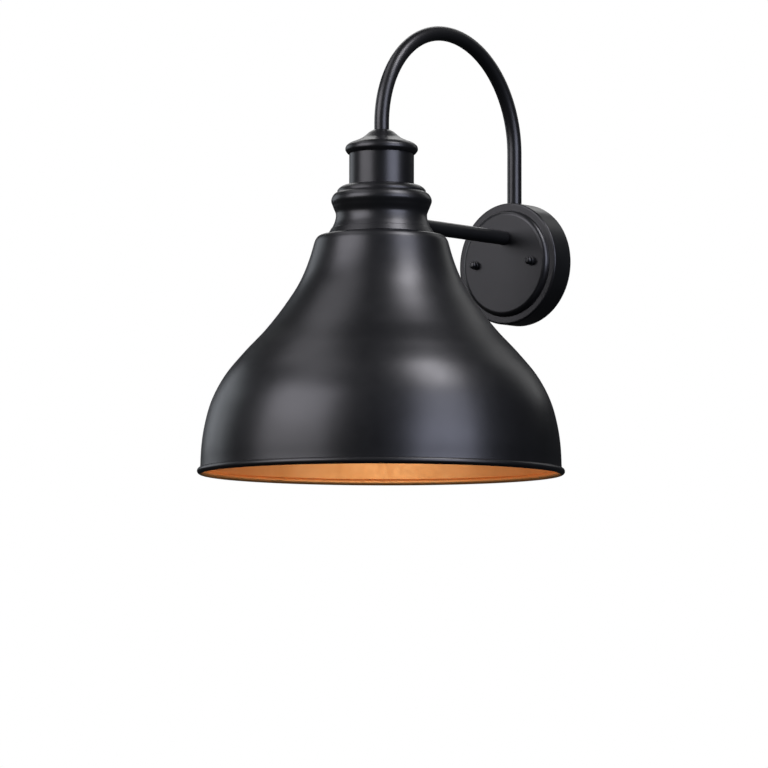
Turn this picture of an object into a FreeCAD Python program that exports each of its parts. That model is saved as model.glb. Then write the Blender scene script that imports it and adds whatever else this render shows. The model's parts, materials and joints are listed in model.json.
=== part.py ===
import FreeCAD, Part
import math
import os
from FreeCAD import Vector

# Outdoor wall lantern: a bell shade hung from a gooseneck arm and braced by a strut,
# both fixed to a round canopy on the wall.
#
# Millimetres. +Z is up and the wall is the plane y = 0. The lantern stands out along -Y.
# The origin is the centre of the wall plate (the canopy), on the wall.

# ---- Driving dimensions ------------------------------------------------------------------

# Canopy and what holds it to the wall
CANOPY_R = 60.325              # 4-3/4 in wall plate
CANOPY_DEPTH = 30.5            # wall to flat face
CANOPY_RISE = 5.0              # the face stands this far out from the ring around it
CANOPY_RING = 7.8              # width of that ring
CANOPY_SHOULDER = 5.0          # width of the rounded shoulder between ring and face
CANOPY_SHEET = 1.2
CANOPY_EDGE_FILLET = 1.8
GASKET_T = 0.8                 # foam pressed flat
GASKET_WIDTH = 5.0
STUD_SPACING = 69.85           # 2-3/4 in fixture studs
STUD_R = 2.05
STUD_IN_CAP = 5.0              # stud's length inside its cap nut
STUD_NUT_FLATS = 8.7
STUD_NUT_T = 3.2
CAP_NUT_R = 4.3
CAP_NUT_LENGTH = 7.5
BOX_SCREW_SPACING = 88.9       # 3-1/2 in round or octagon box
BOX_SLOT_LENGTH = 8.0
BOX_SLOT_R = 2.25
BAR_END = 4.05                 # metal beyond each slot
BAR_WIDTH = 20.0
BAR_T = 2.0
GROUND_X = 14.0                # ground screw and ground lug, right of centre
GROUND_LUG_Z = 36.0
GROUND_HEAD_R = 4.0
GROUND_HEAD_T = 2.4

# Tubes and the threaded nipples that hold them
TUBE_R = 7.1
NIPPLE_R = 4.9                 # 1/8 IP running thread
NIPPLE_BORE_R = 3.4
NIPPLE_GRIP = 12.0             # length held in a straight tube's end
LAMP_NIPPLE_GRIP = 4.0         # shorter above the cap, where the arm soon bends
NIPPLE_TAIL = 3.0              # thread showing past a lock nut
LOCK_NUT_WALL = 2.1            # from the thread to a flat
LOCK_NUT_T = 4.0
WASHER_WALL = 4.1
WASHER_T = 2.0
SADDLE_MARGIN = 2.4            # room round the washer inside the canopy's side

# Where the lamp hangs
LAMP_Y = -218.0                # axis of shade, collar, cup and lampholder
ARM_BEND_Z = 119.1             # the arm goes straight up from the cap to here
ARM_LAMP_SHARE = 0.479         # share of the bend on the lamp's side of its top
STRUT_Z = 25.2

# Cap, socket cup and neck collar, as heights above the origin and widths beyond the cup
CAP_TOP_Z = 112.4
CAP_LIP_Z = 89.2
CAP_OVERHANG = 3.7
CAP_LAND = 0.9                 # flat around the arm's end
CAP_SHEET = 1.2
SPACER_INSET = 0.7             # spacer's edge in from the tube's outside
# Cap's outside between arm and lip: share of its radius, share of its fall
CAP_SHAPE = ((0.3285, 0.082), (0.4294, 0.207), (0.536, 0.332), (0.712, 0.457), (0.905, 0.582),
             (0.9885, 0.707), (1.0, 0.832))
CUP_TOP_Z = 92.0
CUP_SEAT_Z = 56.0              # ledge in the collar that the cup stands on
CUP_R = 31.0
CUP_SHEET = 1.5
COLLAR_TOP_Z = 58.8
COLLAR_BASE_Z = 11.2
COLLAR_LIP = 1.4               # thin rim around the cup
COLLAR_BULGE = 17.1
COLLAR_WAIST = 12.6
COLLAR_FOOT = 20.5
COLLAR_BORE = 6.0
COLLAR_LEDGE = 4.0             # how far the ledge reaches in under the cup
COLLAR_LEDGE_T = 6.0
COLLAR_STEP = 0.7              # small step above the foot
# Collar's outside: distance beyond the cup, share of the collar's height
COLLAR_TOP_EDGE = ((8.9, 0.950), (11.3, 0.895))
COLLAR_SHAPE = ((11.7, 0.857), (14.8, 0.805), (COLLAR_BULGE, 0.689), (15.3, 0.564),
                (COLLAR_WAIST, 0.403), (14.0, 0.242), (16.4, 0.130))

# Shade
SHADE_GASKET_T = 1.0
SHADE_GASKET_INSET = 1.0       # gasket's edge in from the collar's foot
SHADE_SHEET = 1.0
SHADE_FLAT = 6.5               # flat top beyond the collar's foot
SHADE_SHOULDER = 6.2           # width of the rounded shoulder
SHADE_SHOULDER_DROP = 6.7      # its height
SHADE_START_DEG = 16.0         # slope off the upright at its foot
SHADE_WALL_R = 171.8           # outside of the skirt where it meets the rolled bead
SHADE_RIM_Z = -218.3           # lowest point of the bead
BEAD_R = 3.2
SHADE_HOLE_INSET = 1.0         # hole's edge in from the collar's bore
SHADE_SCREW_IN_COLLAR = 4.5    # screw circle out from the collar's bore
SHADE_SCREW_R = 2.0
SHADE_SCREW_LENGTH = 11.0
SCREW_HEAD_T = 2.4
SCREW_HEAD_R = 3.9
# Shape of the skirt between its shoulder and the bead: share of the drop, share of the growth
SKIRT_SHAPE = ((0.0673, 0.039), (0.1742, 0.1257), (0.2815, 0.2611), (0.3878, 0.4253),
               (0.4947, 0.6248), (0.601, 0.7965), (0.7074, 0.9065), (0.8138, 0.9655))

# Lampholder
BRACKET_T = 2.0
BRACKET_WIDTH = 20.0
BRACKET_END_GAP = 2.0
SHELL_BORE_R = 13.4            # medium screw base
SHELL_SHEET = 0.5
HOLDER_WALL = 6.6              # from the shell's bore to the outside of the mouth
HOLDER_SHOULDER = 2.0          # the upper part is this much wider
HOLDER_LENGTH = 52.0
HOLDER_CHANNEL = 24.0          # width of the wiring channel across its top
HOLDER_CHANNEL_DEPTH = 15.0
HOLDER_SCREW_WALL = 4.0        # channel's side to a screw's axis
HOLDER_SCREW_R = 2.0
HOLDER_SCREW_LENGTH = 12.0
SOCKET_DEPTH = 28.0
CONTACT_R = 6.5
CONTACT_T = 1.6
TERMINAL_WIDTH = 8.0
TERMINAL_DEPTH = 6.0
TERMINAL_HEIGHT = 7.0

# Wiring
LEAD_R = 1.1
LEAD_SIDE = 1.6                # each lead's distance from the middle of the tube
LEAD_BEND_R = 4.5
LEAD_FLOOR_GAP = 1.0
CANOPY_BEND_R = 8.0
WIRE_NUT_R = 6.0
WIRE_NUT_LENGTH = 22.0
WIRE_NUT_X = 20.0
WIRE_NUT_Z = 22.0

# Bulb: 60 mm globe on a medium screw base
BULB_R = 30.15
BULB_LENGTH = 108.0
BULB_GLASS_T = 0.8
BASE_THREAD_H = 0.5
BASE_SHEET = 0.4
BASE_LENGTH = 20.0
BASE_TOP_R = 11.0
BASE_GRIP = 5.0                # glass inside the base
THREAD_PITCH = 3.63
TIP_R = 4.6
TIP_T = 1.4
INSULATOR_T = 3.2
STEM_R = 5.5
STEM_LENGTH = 42.0
STEM_PRESS_LENGTH = 12.0
FILAMENT_R = 11.0
FILAMENT_WIRE_R = 0.45
SUPPORT_WIRE_R = 0.35
SUPPORT_LENGTH = 20.0

# Fits
THREAD_GAP = 0.05              # threads, seals and other close fits
HOLE_GAP = 0.3                 # screw or nipple through a plain hole
SLIP_GAP = 0.15                # cup in the collar's recess, shell in the lampholder
BULB_GAP = 0.3                 # bulb's thread in the screw shell

# ---- Worked out from the above -------------------------------------------------------------

CANOPY_STEP_DEPTH = CANOPY_DEPTH - CANOPY_RISE
ARM_WALL_Y = -(CANOPY_STEP_DEPTH + GASKET_T) / 2
ARM_LAMP_R = (ARM_WALL_Y - LAMP_Y) * ARM_LAMP_SHARE
ARM_WALL_R = ARM_WALL_Y - LAMP_Y - ARM_LAMP_R
ARM_TOP_Z = ARM_BEND_Z + ARM_LAMP_R
WALL_BEND_Z = ARM_TOP_Z - ARM_WALL_R
CANOPY_SHOULDER_R = CANOPY_R - CANOPY_RING
CANOPY_FACE_R = CANOPY_SHOULDER_R - CANOPY_SHOULDER
CANOPY_INNER_R = CANOPY_R - CANOPY_SHEET
FACE_INNER_Y = CANOPY_SHEET - CANOPY_DEPTH
STUD_LENGTH = CANOPY_DEPTH + STUD_IN_CAP
BAR_LENGTH = BOX_SCREW_SPACING + BOX_SLOT_LENGTH + BAR_END * 2
TUBE_BORE_R = NIPPLE_R + THREAD_GAP
LOCK_NUT_FLATS = (NIPPLE_R + LOCK_NUT_WALL) * 2
WASHER_R = NIPPLE_R + WASHER_WALL
SADDLE_R = (CANOPY_STEP_DEPTH - CANOPY_SHEET - GASKET_T) / 2 - SADDLE_MARGIN
SPACER_R = TUBE_R - SPACER_INSET
CAP_R = CUP_R + CAP_OVERHANG
COLLAR_LIP_R = CUP_R + SLIP_GAP + COLLAR_LIP
COLLAR_BULGE_R = CUP_R + COLLAR_BULGE
COLLAR_WAIST_R = CUP_R + COLLAR_WAIST
COLLAR_BASE_R = CUP_R + COLLAR_FOOT
COLLAR_BORE_R = CUP_R + COLLAR_BORE
COLLAR_LEDGE_R = CUP_R - COLLAR_LEDGE
CUP_INNER_TOP_Z = CUP_TOP_Z - CUP_SHEET
BRACKET_REACH = COLLAR_BORE_R - BRACKET_END_GAP
BRACKET_TOP_Z = CUP_SEAT_Z - COLLAR_LEDGE_T
BRACKET_BOTTOM_Z = BRACKET_TOP_Z - BRACKET_T
HOLDER_MOUTH_R = SHELL_BORE_R + HOLDER_WALL
HOLDER_R = HOLDER_MOUTH_R + HOLDER_SHOULDER
HOLDER_SCREW_X = HOLDER_CHANNEL / 2 + HOLDER_SCREW_WALL
HOLDER_BOTTOM_Z = BRACKET_BOTTOM_Z - HOLDER_LENGTH
HOLDER_FLOOR_Z = HOLDER_BOTTOM_Z + SOCKET_DEPTH
CHANNEL_FLOOR_Z = BRACKET_BOTTOM_Z - HOLDER_CHANNEL_DEPTH
LAMP_NIPPLE_BOTTOM_Z = BRACKET_BOTTOM_Z - LOCK_NUT_T - NIPPLE_TAIL
LAMP_NIPPLE_TOP_Z = CAP_TOP_Z + LAMP_NIPPLE_GRIP
SHADE_TOP_Z = COLLAR_BASE_Z - SHADE_GASKET_T
SHADE_TOP_FLAT_R = COLLAR_BASE_R + SHADE_FLAT
SHADE_SHOULDER_R = SHADE_TOP_FLAT_R + SHADE_SHOULDER
SHADE_SHOULDER_Z = SHADE_TOP_Z - SHADE_SHOULDER_DROP
SHADE_HOLE_R = COLLAR_BORE_R - SHADE_HOLE_INSET
SHADE_SCREW_CIRCLE_R = COLLAR_BORE_R + SHADE_SCREW_IN_COLLAR
BEAD_Z = SHADE_RIM_Z + BEAD_R
BASE_THREAD_R = SHELL_BORE_R - BULB_GAP
BASE_ROOT_R = BASE_THREAD_R - BASE_THREAD_H
BULB_NECK_R = BASE_ROOT_R - BASE_SHEET / 2
BULB_TIP_Z = HOLDER_FLOOR_Z - CONTACT_T
BASE_TOP_Z = BULB_TIP_Z - TIP_T - INSULATOR_T
BASE_BOTTOM_Z = BASE_TOP_Z - BASE_LENGTH
BULB_END_Z = BULB_TIP_Z - BULB_LENGTH
BULB_CENTRE_Z = BULB_END_Z + BULB_R
GLASS_TOP_Z = BASE_BOTTOM_Z + BASE_GRIP
STEM_TIP_Z = GLASS_TOP_Z - THREAD_GAP - STEM_LENGTH
TERMINAL_TOP_Z = CHANNEL_FLOOR_Z - LEAD_BEND_R

X_AXIS = Vector(1, 0, 0)
Y_AXIS = Vector(0, 1, 0)
Z_AXIS = Vector(0, 0, 1)
LAMP_AXIS = Vector(0, LAMP_Y, 0)
ORIGIN = Vector(0, 0, 0)

# ---- Building blocks -----------------------------------------------------------------------


def at_lamp(r, z):
    """Point of a profile turned about the lamp's upright axis."""
    return Vector(r, LAMP_Y, z)


def at_wall(r, depth):
    """Point of a profile turned about the canopy's axis, which is square to the wall."""
    return Vector(0, -depth, r)


def lines(points):
    """Straight edges from point to point."""
    return [Part.makeLine(a, b) for a, b in zip(points, points[1:])]


def arc(start, middle, end):
    return Part.Arc(start, middle, end).toShape()


def smooth(points, start_dir=None, end_dir=None):
    """Smooth curve through the points, with its end directions if they are given."""
    curve = Part.BSplineCurve()
    if start_dir is None:
        curve.interpolate(points)
    else:
        curve.interpolate(Points=points, InitialTangent=start_dir, FinalTangent=end_dir)
    return curve


def beside(curve, distance, normal, count):
    """Smooth curve at a constant distance from another, on the side of normal x direction."""
    first = curve.FirstParameter
    step = (curve.LastParameter - first) / (count - 1)
    points = []
    for i in range(count):
        here = first + step * i
        side = normal.cross(curve.tangent(here)[0]).normalize()
        points.append(curve.value(here) + side * distance)
    ends = [curve.tangent(first)[0], curve.tangent(curve.LastParameter)[0]]
    return smooth(points, ends[0], ends[1])


def turned(edges, centre, direction):
    """Solid of revolution of a closed outline."""
    wire = Part.Wire(Part.__sortEdges__(edges))
    return solid_of(Part.Face(wire).revolve(centre, direction, 360))


def solid_of(shape):
    """The one solid of a shape, faces merged where they continue each other."""
    shape = shape.removeSplitter()
    return shape.Solids[0] if len(shape.Solids) == 1 else shape


def rod(radius, start, end):
    along = end - start
    return Part.makeCylinder(radius, along.Length, start, along)


def pipe(outer, inner, start, end):
    return rod(outer, start, end).cut(rod(inner, start, end))


def hex_prism(flats, start, end):
    """Hexagonal bar between two points on its axis."""
    along = end - start
    side = X_AXIS if abs(along.x) < abs(along.y) + abs(along.z) else Z_AXIS
    corner = side * (flats / math.sqrt(3))
    points = []
    for i in range(7):
        turn = FreeCAD.Rotation(along, 60 * i)
        points.append(start + turn.multVec(corner))
    return Part.Face(Part.makePolygon(points)).extrude(along)


def hex_nut(flats, hole_r, start, end):
    """Hexagonal nut with its corners turned off at both faces."""
    along = end - start
    bevel = (flats / math.sqrt(3) - flats / 2) * 0.7
    body = hex_prism(flats, start, end)
    top_r = flats / math.sqrt(3) - bevel * 0.4
    far = along.Length
    rise = Vector(along).normalize()
    cone_h = far / 2
    cone_r = top_r + cone_h * 1.7
    low = Part.makeCone(top_r, cone_r, cone_h, start, rise)
    high = Part.makeCone(cone_r, top_r, cone_h, start + rise * cone_h, rise)
    return solid_of(body.common(low.fuse(high)).cut(rod(hole_r, start, end)))


def bent_wire(radius, points, bends):
    """Round wire along straight runs joined by tangent arcs, one radius for each corner."""
    edges = []
    here = points[0]
    for corner, after, bend in zip(points[1:-1], points[2:], bends):
        back = (here - corner).normalize()
        ahead = (after - corner).normalize()
        half = back.getAngle(ahead) / 2
        reach = bend / math.tan(half)
        enter = corner + back * reach
        leave = corner + ahead * reach
        centre = corner + (back + ahead).normalize() * (bend / math.sin(half))
        middle = centre + (corner - centre).normalize() * bend
        if (enter - here).Length > 1e-6:
            edges.append(Part.makeLine(here, enter))
        edges.append(arc(enter, middle, leave))
        here = leave
    edges.append(Part.makeLine(here, points[-1]))
    path = Part.Wire(edges)
    section = Part.Wire(Part.makeCircle(radius, points[0], points[1] - points[0]))
    return path.makePipeShell([section], True, False)


def group(solids):
    return Part.makeCompound(solids)


# ---- Wall side -------------------------------------------------------------------------------


def wall_gasket():
    """Flat foam ring between the canopy's edge and the wall."""
    outer = CANOPY_R - HOLE_GAP
    return pipe(outer, outer - GASKET_WIDTH, ORIGIN, Vector(0, -GASKET_T, 0))


def canopy_outline(inset):
    """Half section of the canopy's outside, moved inwards by the inset."""
    rim_r = CANOPY_R - inset
    step = CANOPY_STEP_DEPTH - inset
    face = CANOPY_DEPTH - inset
    edge = CANOPY_EDGE_FILLET - inset * 0.5
    shoulder_r = CANOPY_SHOULDER_R - inset
    face_r = CANOPY_FACE_R - inset * 0.5
    diagonal = edge * (1 - math.sqrt(0.5))
    rise = face - step
    run = shoulder_r - face_r
    corner = [at_wall(rim_r, step - edge), at_wall(rim_r - diagonal, step - diagonal),
              at_wall(rim_r - edge, step)]
    crown = [at_wall(shoulder_r, step + rise * 0.15),
             at_wall(face_r + run * 0.72, step + rise * 0.72), at_wall(face_r, face)]
    edges = lines([at_wall(rim_r, GASKET_T), corner[0]])
    edges.append(arc(*corner))
    edges += lines([corner[2], at_wall(shoulder_r, step), crown[0]])
    edges.append(arc(*crown))
    edges += lines([crown[2], at_wall(0, face)])
    return edges


def canopy_solid(inset):
    """Everything inside the canopy's outline."""
    edges = canopy_outline(inset)
    edges += lines([at_wall(0, CANOPY_DEPTH - inset), at_wall(0, GASKET_T),
                    at_wall(CANOPY_R - inset, GASKET_T)])
    return turned(edges, ORIGIN, Y_AXIS)


def canopy():
    """Stepped drawn-steel wall plate with holes for the studs, the strut and the arm."""
    shell = canopy_solid(0).cut(canopy_solid(CANOPY_SHEET))
    for x in stud_places():
        shell = shell.cut(rod(STUD_R + HOLE_GAP, Vector(x, 0, 0), Vector(x, -CANOPY_DEPTH * 2, 0)))
    strut_hole = rod(NIPPLE_R + HOLE_GAP, Vector(0, -CANOPY_STEP_DEPTH, STRUT_Z),
                     Vector(0, -CANOPY_DEPTH * 2, STRUT_Z))
    arm_hole = rod(NIPPLE_R + HOLE_GAP, Vector(0, ARM_WALL_Y, CANOPY_R / 2),
                   Vector(0, ARM_WALL_Y, CANOPY_R * 2))
    return solid_of(shell.cut(strut_hole).cut(arm_hole))


def stud_places():
    return [-STUD_SPACING / 2, STUD_SPACING / 2]


def slot_cutter(x):
    """Slot for a junction-box screw, long way across the bar's length."""
    reach = BOX_SLOT_LENGTH / 2 - BOX_SLOT_R
    ends = [rod(BOX_SLOT_R, Vector(x + s, BAR_T, 0), Vector(x + s, -BAR_T * 2, 0))
            for s in (-reach, reach)]
    middle = Part.makeBox(reach * 2, BAR_T * 3, BOX_SLOT_R * 2,
                          Vector(x - reach, -BAR_T * 2, -BOX_SLOT_R))
    return ends[0].fuse(ends[1]).fuse(middle)


def crossbar():
    """Flat steel strap screwed to the junction box; the studs and ground screw thread into it."""
    bar = Part.makeBox(BAR_LENGTH, BAR_T, BAR_WIDTH,
                       Vector(-BAR_LENGTH / 2, -BAR_T, -BAR_WIDTH / 2))
    corners = [e for e in bar.Edges if abs(e.Length - BAR_T) < 1e-6]
    bar = bar.makeFillet(BAR_WIDTH * 0.2, corners)
    for x in stud_places():
        bar = bar.cut(rod(STUD_R, Vector(x, BAR_T, 0), Vector(x, -BAR_T * 2, 0)))
    for x in (-BOX_SCREW_SPACING / 2, BOX_SCREW_SPACING / 2):
        bar = bar.cut(slot_cutter(x))
    bar = bar.cut(rod(NIPPLE_R, Vector(0, BAR_T, 0), Vector(0, -BAR_T * 2, 0)))
    bar = bar.cut(rod(STUD_R, Vector(GROUND_X, BAR_T, 0), Vector(GROUND_X, -BAR_T * 2, 0)))
    return solid_of(bar)


def crossbar_studs():
    """Long studs that carry the canopy."""
    return group([rod(STUD_R, Vector(x, 0, 0), Vector(x, -STUD_LENGTH, 0)) for x in stud_places()])


def stud_lock_nuts():
    """Nuts that lock the studs on the crossbar."""
    return group([hex_nut(STUD_NUT_FLATS, STUD_R, Vector(x, -BAR_T, 0),
                          Vector(x, -BAR_T - STUD_NUT_T, 0)) for x in stud_places()])


def cap_nut(x):
    """Turned nut with a wide foot, a groove and a round nose, closed at the end."""
    foot = CAP_NUT_LENGTH * 0.42
    groove = CAP_NUT_LENGTH * 0.13
    nose = CAP_NUT_LENGTH - foot - groove
    nose_r = CAP_NUT_R * 0.84

    def piece(radius, near, length, edge):
        start = Vector(x, -CANOPY_DEPTH - near, 0)
        body = rod(radius, start, start - Y_AXIS * length)
        far_y = start.y - length
        far = [e for e in body.Edges
               if abs(e.BoundBox.YMin - far_y) < 1e-6 and abs(e.BoundBox.YMax - far_y) < 1e-6]
        return body.makeFillet(edge, far) if edge else body

    body = piece(CAP_NUT_R, 0, foot, foot * 0.2)
    body = body.fuse(piece(CAP_NUT_R * 0.7, foot, groove, 0))
    body = body.fuse(piece(nose_r, foot + groove, nose, min(nose_r, nose) * 0.7))
    return solid_of(body.cut(rod(STUD_R, Vector(x, 0, 0), Vector(x, -STUD_LENGTH, 0))))


def cap_nuts():
    return group([cap_nut(x) for x in stud_places()])


def ground_screw():
    """Pan-head screw in the crossbar, for the ground wire."""
    head = rod(GROUND_HEAD_R, Vector(GROUND_X, -BAR_T, 0),
               Vector(GROUND_X, -BAR_T - GROUND_HEAD_T, 0))
    shank = rod(STUD_R, Vector(GROUND_X, 0, 0), Vector(GROUND_X, -BAR_T, 0))
    return solid_of(head.fuse(shank))


def ground_lug():
    """Small block brazed inside the canopy's face that grips the other end of the ground wire."""
    size = GROUND_HEAD_R * 2
    depth = size * 0.5
    return Part.makeBox(size, depth, size,
                        Vector(GROUND_X - size / 2, FACE_INNER_Y, GROUND_LUG_Z - size / 2))


def ground_wire():
    """From the lug, towards the wall, then down to the top of the ground screw's head."""
    start = Vector(GROUND_X, FACE_INNER_Y + GROUND_HEAD_R, GROUND_LUG_Z)
    turn_y = -BAR_T - LEAD_R - HOLE_GAP
    corner = Vector(GROUND_X, turn_y, GROUND_LUG_Z)
    end = Vector(GROUND_X, turn_y, GROUND_HEAD_R)
    return bent_wire(LEAD_R, [start, corner, end], [CANOPY_BEND_R])


# ---- Arm, strut and their fastenings -----------------------------------------------------------


def arm_bend(x):
    """Two quarter circles over the top, at a distance beside the arm's centreline."""
    half = math.sqrt(0.5)
    lamp_end = Vector(x, LAMP_Y, ARM_BEND_Z)
    top = Vector(x, LAMP_Y + ARM_LAMP_R, ARM_TOP_Z)
    wall_end = Vector(x, ARM_WALL_Y, WALL_BEND_Z)
    lamp_side = Vector(x, top.y - ARM_LAMP_R * half, ARM_BEND_Z + ARM_LAMP_R * half)
    wall_side = Vector(x, top.y + ARM_WALL_R * half, WALL_BEND_Z + ARM_WALL_R * half)
    return [arc(lamp_end, lamp_side, top), arc(top, wall_side, wall_end)]


def tube_path(radius, low_z):
    """Solid along the arm's line: up the lamp leg, over the bend, down the wall leg."""
    start = Vector(0, LAMP_Y, CAP_TOP_Z)
    edges = lines([start, Vector(0, LAMP_Y, ARM_BEND_Z)]) + arm_bend(0)
    edges += lines([Vector(0, ARM_WALL_Y, WALL_BEND_Z), Vector(0, ARM_WALL_Y, low_z)])
    path = Part.Wire(edges)
    section = Part.Wire(Part.makeCircle(radius, start, Z_AXIS))
    return path.makePipeShell([section], True, False)


def gooseneck_arm():
    """Bent steel tube, coped at its lower end to stand on the canopy's round side."""
    low_z = CANOPY_R * 0.9
    tube = tube_path(TUBE_R, low_z).cut(tube_path(TUBE_BORE_R, low_z))
    return solid_of(tube.cut(rod(CANOPY_R, ORIGIN, Vector(0, -CANOPY_DEPTH * 2, 0))))


def collar_point(beyond_cup, share):
    """Point on the collar's outside, at a share of its height."""
    return at_lamp(CUP_R + beyond_cup, COLLAR_BASE_Z + (COLLAR_TOP_Z - COLLAR_BASE_Z) * share)


def collar_outline():
    """Half section of the collar's outside, from its top lip to its base."""
    lip = at_lamp(COLLAR_LIP_R, COLLAR_TOP_Z)
    side = collar_point(*COLLAR_TOP_EDGE[1])
    curve = smooth([collar_point(*place) for place in COLLAR_SHAPE])
    groove = at_lamp(side.x, curve.StartPoint.z)
    foot = curve.EndPoint
    edges = [arc(lip, collar_point(*COLLAR_TOP_EDGE[0]), side)]
    edges += lines([side, groove, curve.StartPoint])
    edges.append(curve.toShape())
    edges += lines([foot, foot + Vector(COLLAR_STEP, 0, -COLLAR_STEP / 2),
                    at_lamp(COLLAR_BASE_R, COLLAR_BASE_Z)])
    return edges, lip


def collar_solid():
    """Everything inside the collar's outside, with no bore."""
    edges, lip = collar_outline()
    edges += lines([at_lamp(COLLAR_BASE_R, COLLAR_BASE_Z), at_lamp(0, COLLAR_BASE_Z),
                    at_lamp(0, COLLAR_TOP_Z), lip])
    return turned(edges, LAMP_AXIS, Z_AXIS)


def neck_collar():
    """Cast collar: recess for the cup, ledge inside, open below, tapped for the shade screws."""
    bore = rod(COLLAR_BORE_R, at_lamp(0, COLLAR_BASE_Z), at_lamp(0, BRACKET_TOP_Z))
    ledge = rod(COLLAR_LEDGE_R, at_lamp(0, COLLAR_BASE_Z), at_lamp(0, COLLAR_TOP_Z))
    recess = rod(CUP_R + SLIP_GAP, at_lamp(0, CUP_SEAT_Z), at_lamp(0, COLLAR_TOP_Z + 1))
    body = collar_solid().cut(bore.fuse(ledge).fuse(recess))
    strut_hole = rod(NIPPLE_R + HOLE_GAP, Vector(0, LAMP_Y, STRUT_Z),
                     Vector(0, LAMP_Y + COLLAR_BASE_R * 2, STRUT_Z))
    body = body.cut(strut_hole)
    for place in shade_screw_places():
        top = SHADE_TOP_Z - SHADE_SHEET + SHADE_SCREW_LENGTH
        body = body.cut(rod(SHADE_SCREW_R, place + Vector(0, 0, COLLAR_BASE_Z - 1),
                            place + Vector(0, 0, top)))
    return solid_of(body)


def strut():
    """Straight tube from the canopy's face to the collar, coped to the collar's outside."""
    start = Vector(0, -CANOPY_DEPTH, STRUT_Z)
    end = Vector(0, LAMP_Y + COLLAR_WAIST_R * 0.8, STRUT_Z)
    tube = pipe(TUBE_R, TUBE_BORE_R, start, end)
    return solid_of(tube.cut(collar_solid()))


def nipple(start, end):
    return pipe(NIPPLE_R, NIPPLE_BORE_R, start, end)


def lamp_nipple():
    """Long threaded tube that clamps cap, cup, collar and bracket to the arm."""
    return nipple(at_lamp(0, LAMP_NIPPLE_BOTTOM_Z), at_lamp(0, LAMP_NIPPLE_TOP_Z))


def canopy_washer_z():
    """Underside of the saddle washer inside the canopy's round side."""
    return math.sqrt(CANOPY_INNER_R ** 2 - SADDLE_R ** 2) - WASHER_T


def neck_washer_y():
    """Lamp-side face of the saddle washer inside the collar's bore."""
    return LAMP_Y + math.sqrt(COLLAR_BORE_R ** 2 - WASHER_R ** 2) - WASHER_T


def arm_wall_nipple():
    low_z = canopy_washer_z() - LOCK_NUT_T - NIPPLE_TAIL
    return nipple(Vector(0, ARM_WALL_Y, low_z), Vector(0, ARM_WALL_Y, CANOPY_R + NIPPLE_GRIP))


def strut_wall_nipple():
    back_y = FACE_INNER_Y + WASHER_T + LOCK_NUT_T + NIPPLE_TAIL
    return nipple(Vector(0, back_y, STRUT_Z), Vector(0, -CANOPY_DEPTH - NIPPLE_GRIP, STRUT_Z))


def strut_neck_nipple():
    front_y = neck_washer_y() - LOCK_NUT_T - NIPPLE_TAIL
    back_y = LAMP_Y + COLLAR_WAIST_R + NIPPLE_GRIP
    return nipple(Vector(0, front_y, STRUT_Z), Vector(0, back_y, STRUT_Z))


def lock_nuts():
    """One nut on the inner end of each nipple."""
    grip = NIPPLE_R
    arm_z = canopy_washer_z()
    face_y = FACE_INNER_Y + WASHER_T
    neck_y = neck_washer_y()
    return group([
        hex_nut(LOCK_NUT_FLATS, grip, at_lamp(0, BRACKET_BOTTOM_Z),
                at_lamp(0, BRACKET_BOTTOM_Z - LOCK_NUT_T)),
        hex_nut(LOCK_NUT_FLATS, grip, Vector(0, ARM_WALL_Y, arm_z),
                Vector(0, ARM_WALL_Y, arm_z - LOCK_NUT_T)),
        hex_nut(LOCK_NUT_FLATS, grip, Vector(0, face_y, STRUT_Z),
                Vector(0, face_y + LOCK_NUT_T, STRUT_Z)),
        hex_nut(LOCK_NUT_FLATS, grip, Vector(0, neck_y, STRUT_Z),
                Vector(0, neck_y - LOCK_NUT_T, STRUT_Z)),
    ])


def canopy_saddle_washer():
    """Washer with its upper side rounded to the inside of the canopy's wall."""
    blank = pipe(SADDLE_R, NIPPLE_R + THREAD_GAP, Vector(0, ARM_WALL_Y, canopy_washer_z()),
                 Vector(0, ARM_WALL_Y, CANOPY_R))
    return solid_of(blank.common(rod(CANOPY_INNER_R, ORIGIN, Vector(0, -CANOPY_DEPTH, 0))))


def neck_saddle_washer():
    """Washer with its back rounded to the collar's bore."""
    blank = pipe(WASHER_R, NIPPLE_R + THREAD_GAP, Vector(0, neck_washer_y(), STRUT_Z),
                 Vector(0, LAMP_Y + COLLAR_BORE_R, STRUT_Z))
    bore = rod(COLLAR_BORE_R, at_lamp(0, COLLAR_BASE_Z), at_lamp(0, BRACKET_TOP_Z))
    return solid_of(blank.common(bore))


def strut_washer():
    return pipe(WASHER_R, NIPPLE_R + THREAD_GAP, Vector(0, FACE_INNER_Y, STRUT_Z),
                Vector(0, FACE_INNER_Y + WASHER_T, STRUT_Z))


# ---- Cap and socket cup --------------------------------------------------------------------


def top_cap():
    """Spun ogee cap: hollow slope from the arm, round shoulder, lip turned in to the cup."""
    fall = CAP_TOP_Z - CAP_LIP_Z
    points = [at_lamp(TUBE_R + CAP_LAND, CAP_TOP_Z)]
    points += [at_lamp(CAP_R * r, CAP_TOP_Z - fall * f) for r, f in CAP_SHAPE]
    points.append(at_lamp(CUP_R + SLIP_GAP + CAP_SHEET, CAP_LIP_Z))
    outer = smooth(points)
    inner = beside(outer, CAP_SHEET, Y_AXIS, 14)
    hole_r = NIPPLE_R + THREAD_GAP
    top_in = at_lamp(hole_r, CAP_TOP_Z)
    under = at_lamp(hole_r, CAP_TOP_Z - CAP_SHEET)
    edges = [outer.toShape(), inner.toShape()]
    edges += lines([outer.EndPoint, inner.EndPoint])
    edges += lines([inner.StartPoint, under, top_in, outer.StartPoint])
    return turned(edges, LAMP_AXIS, Z_AXIS)


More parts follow.
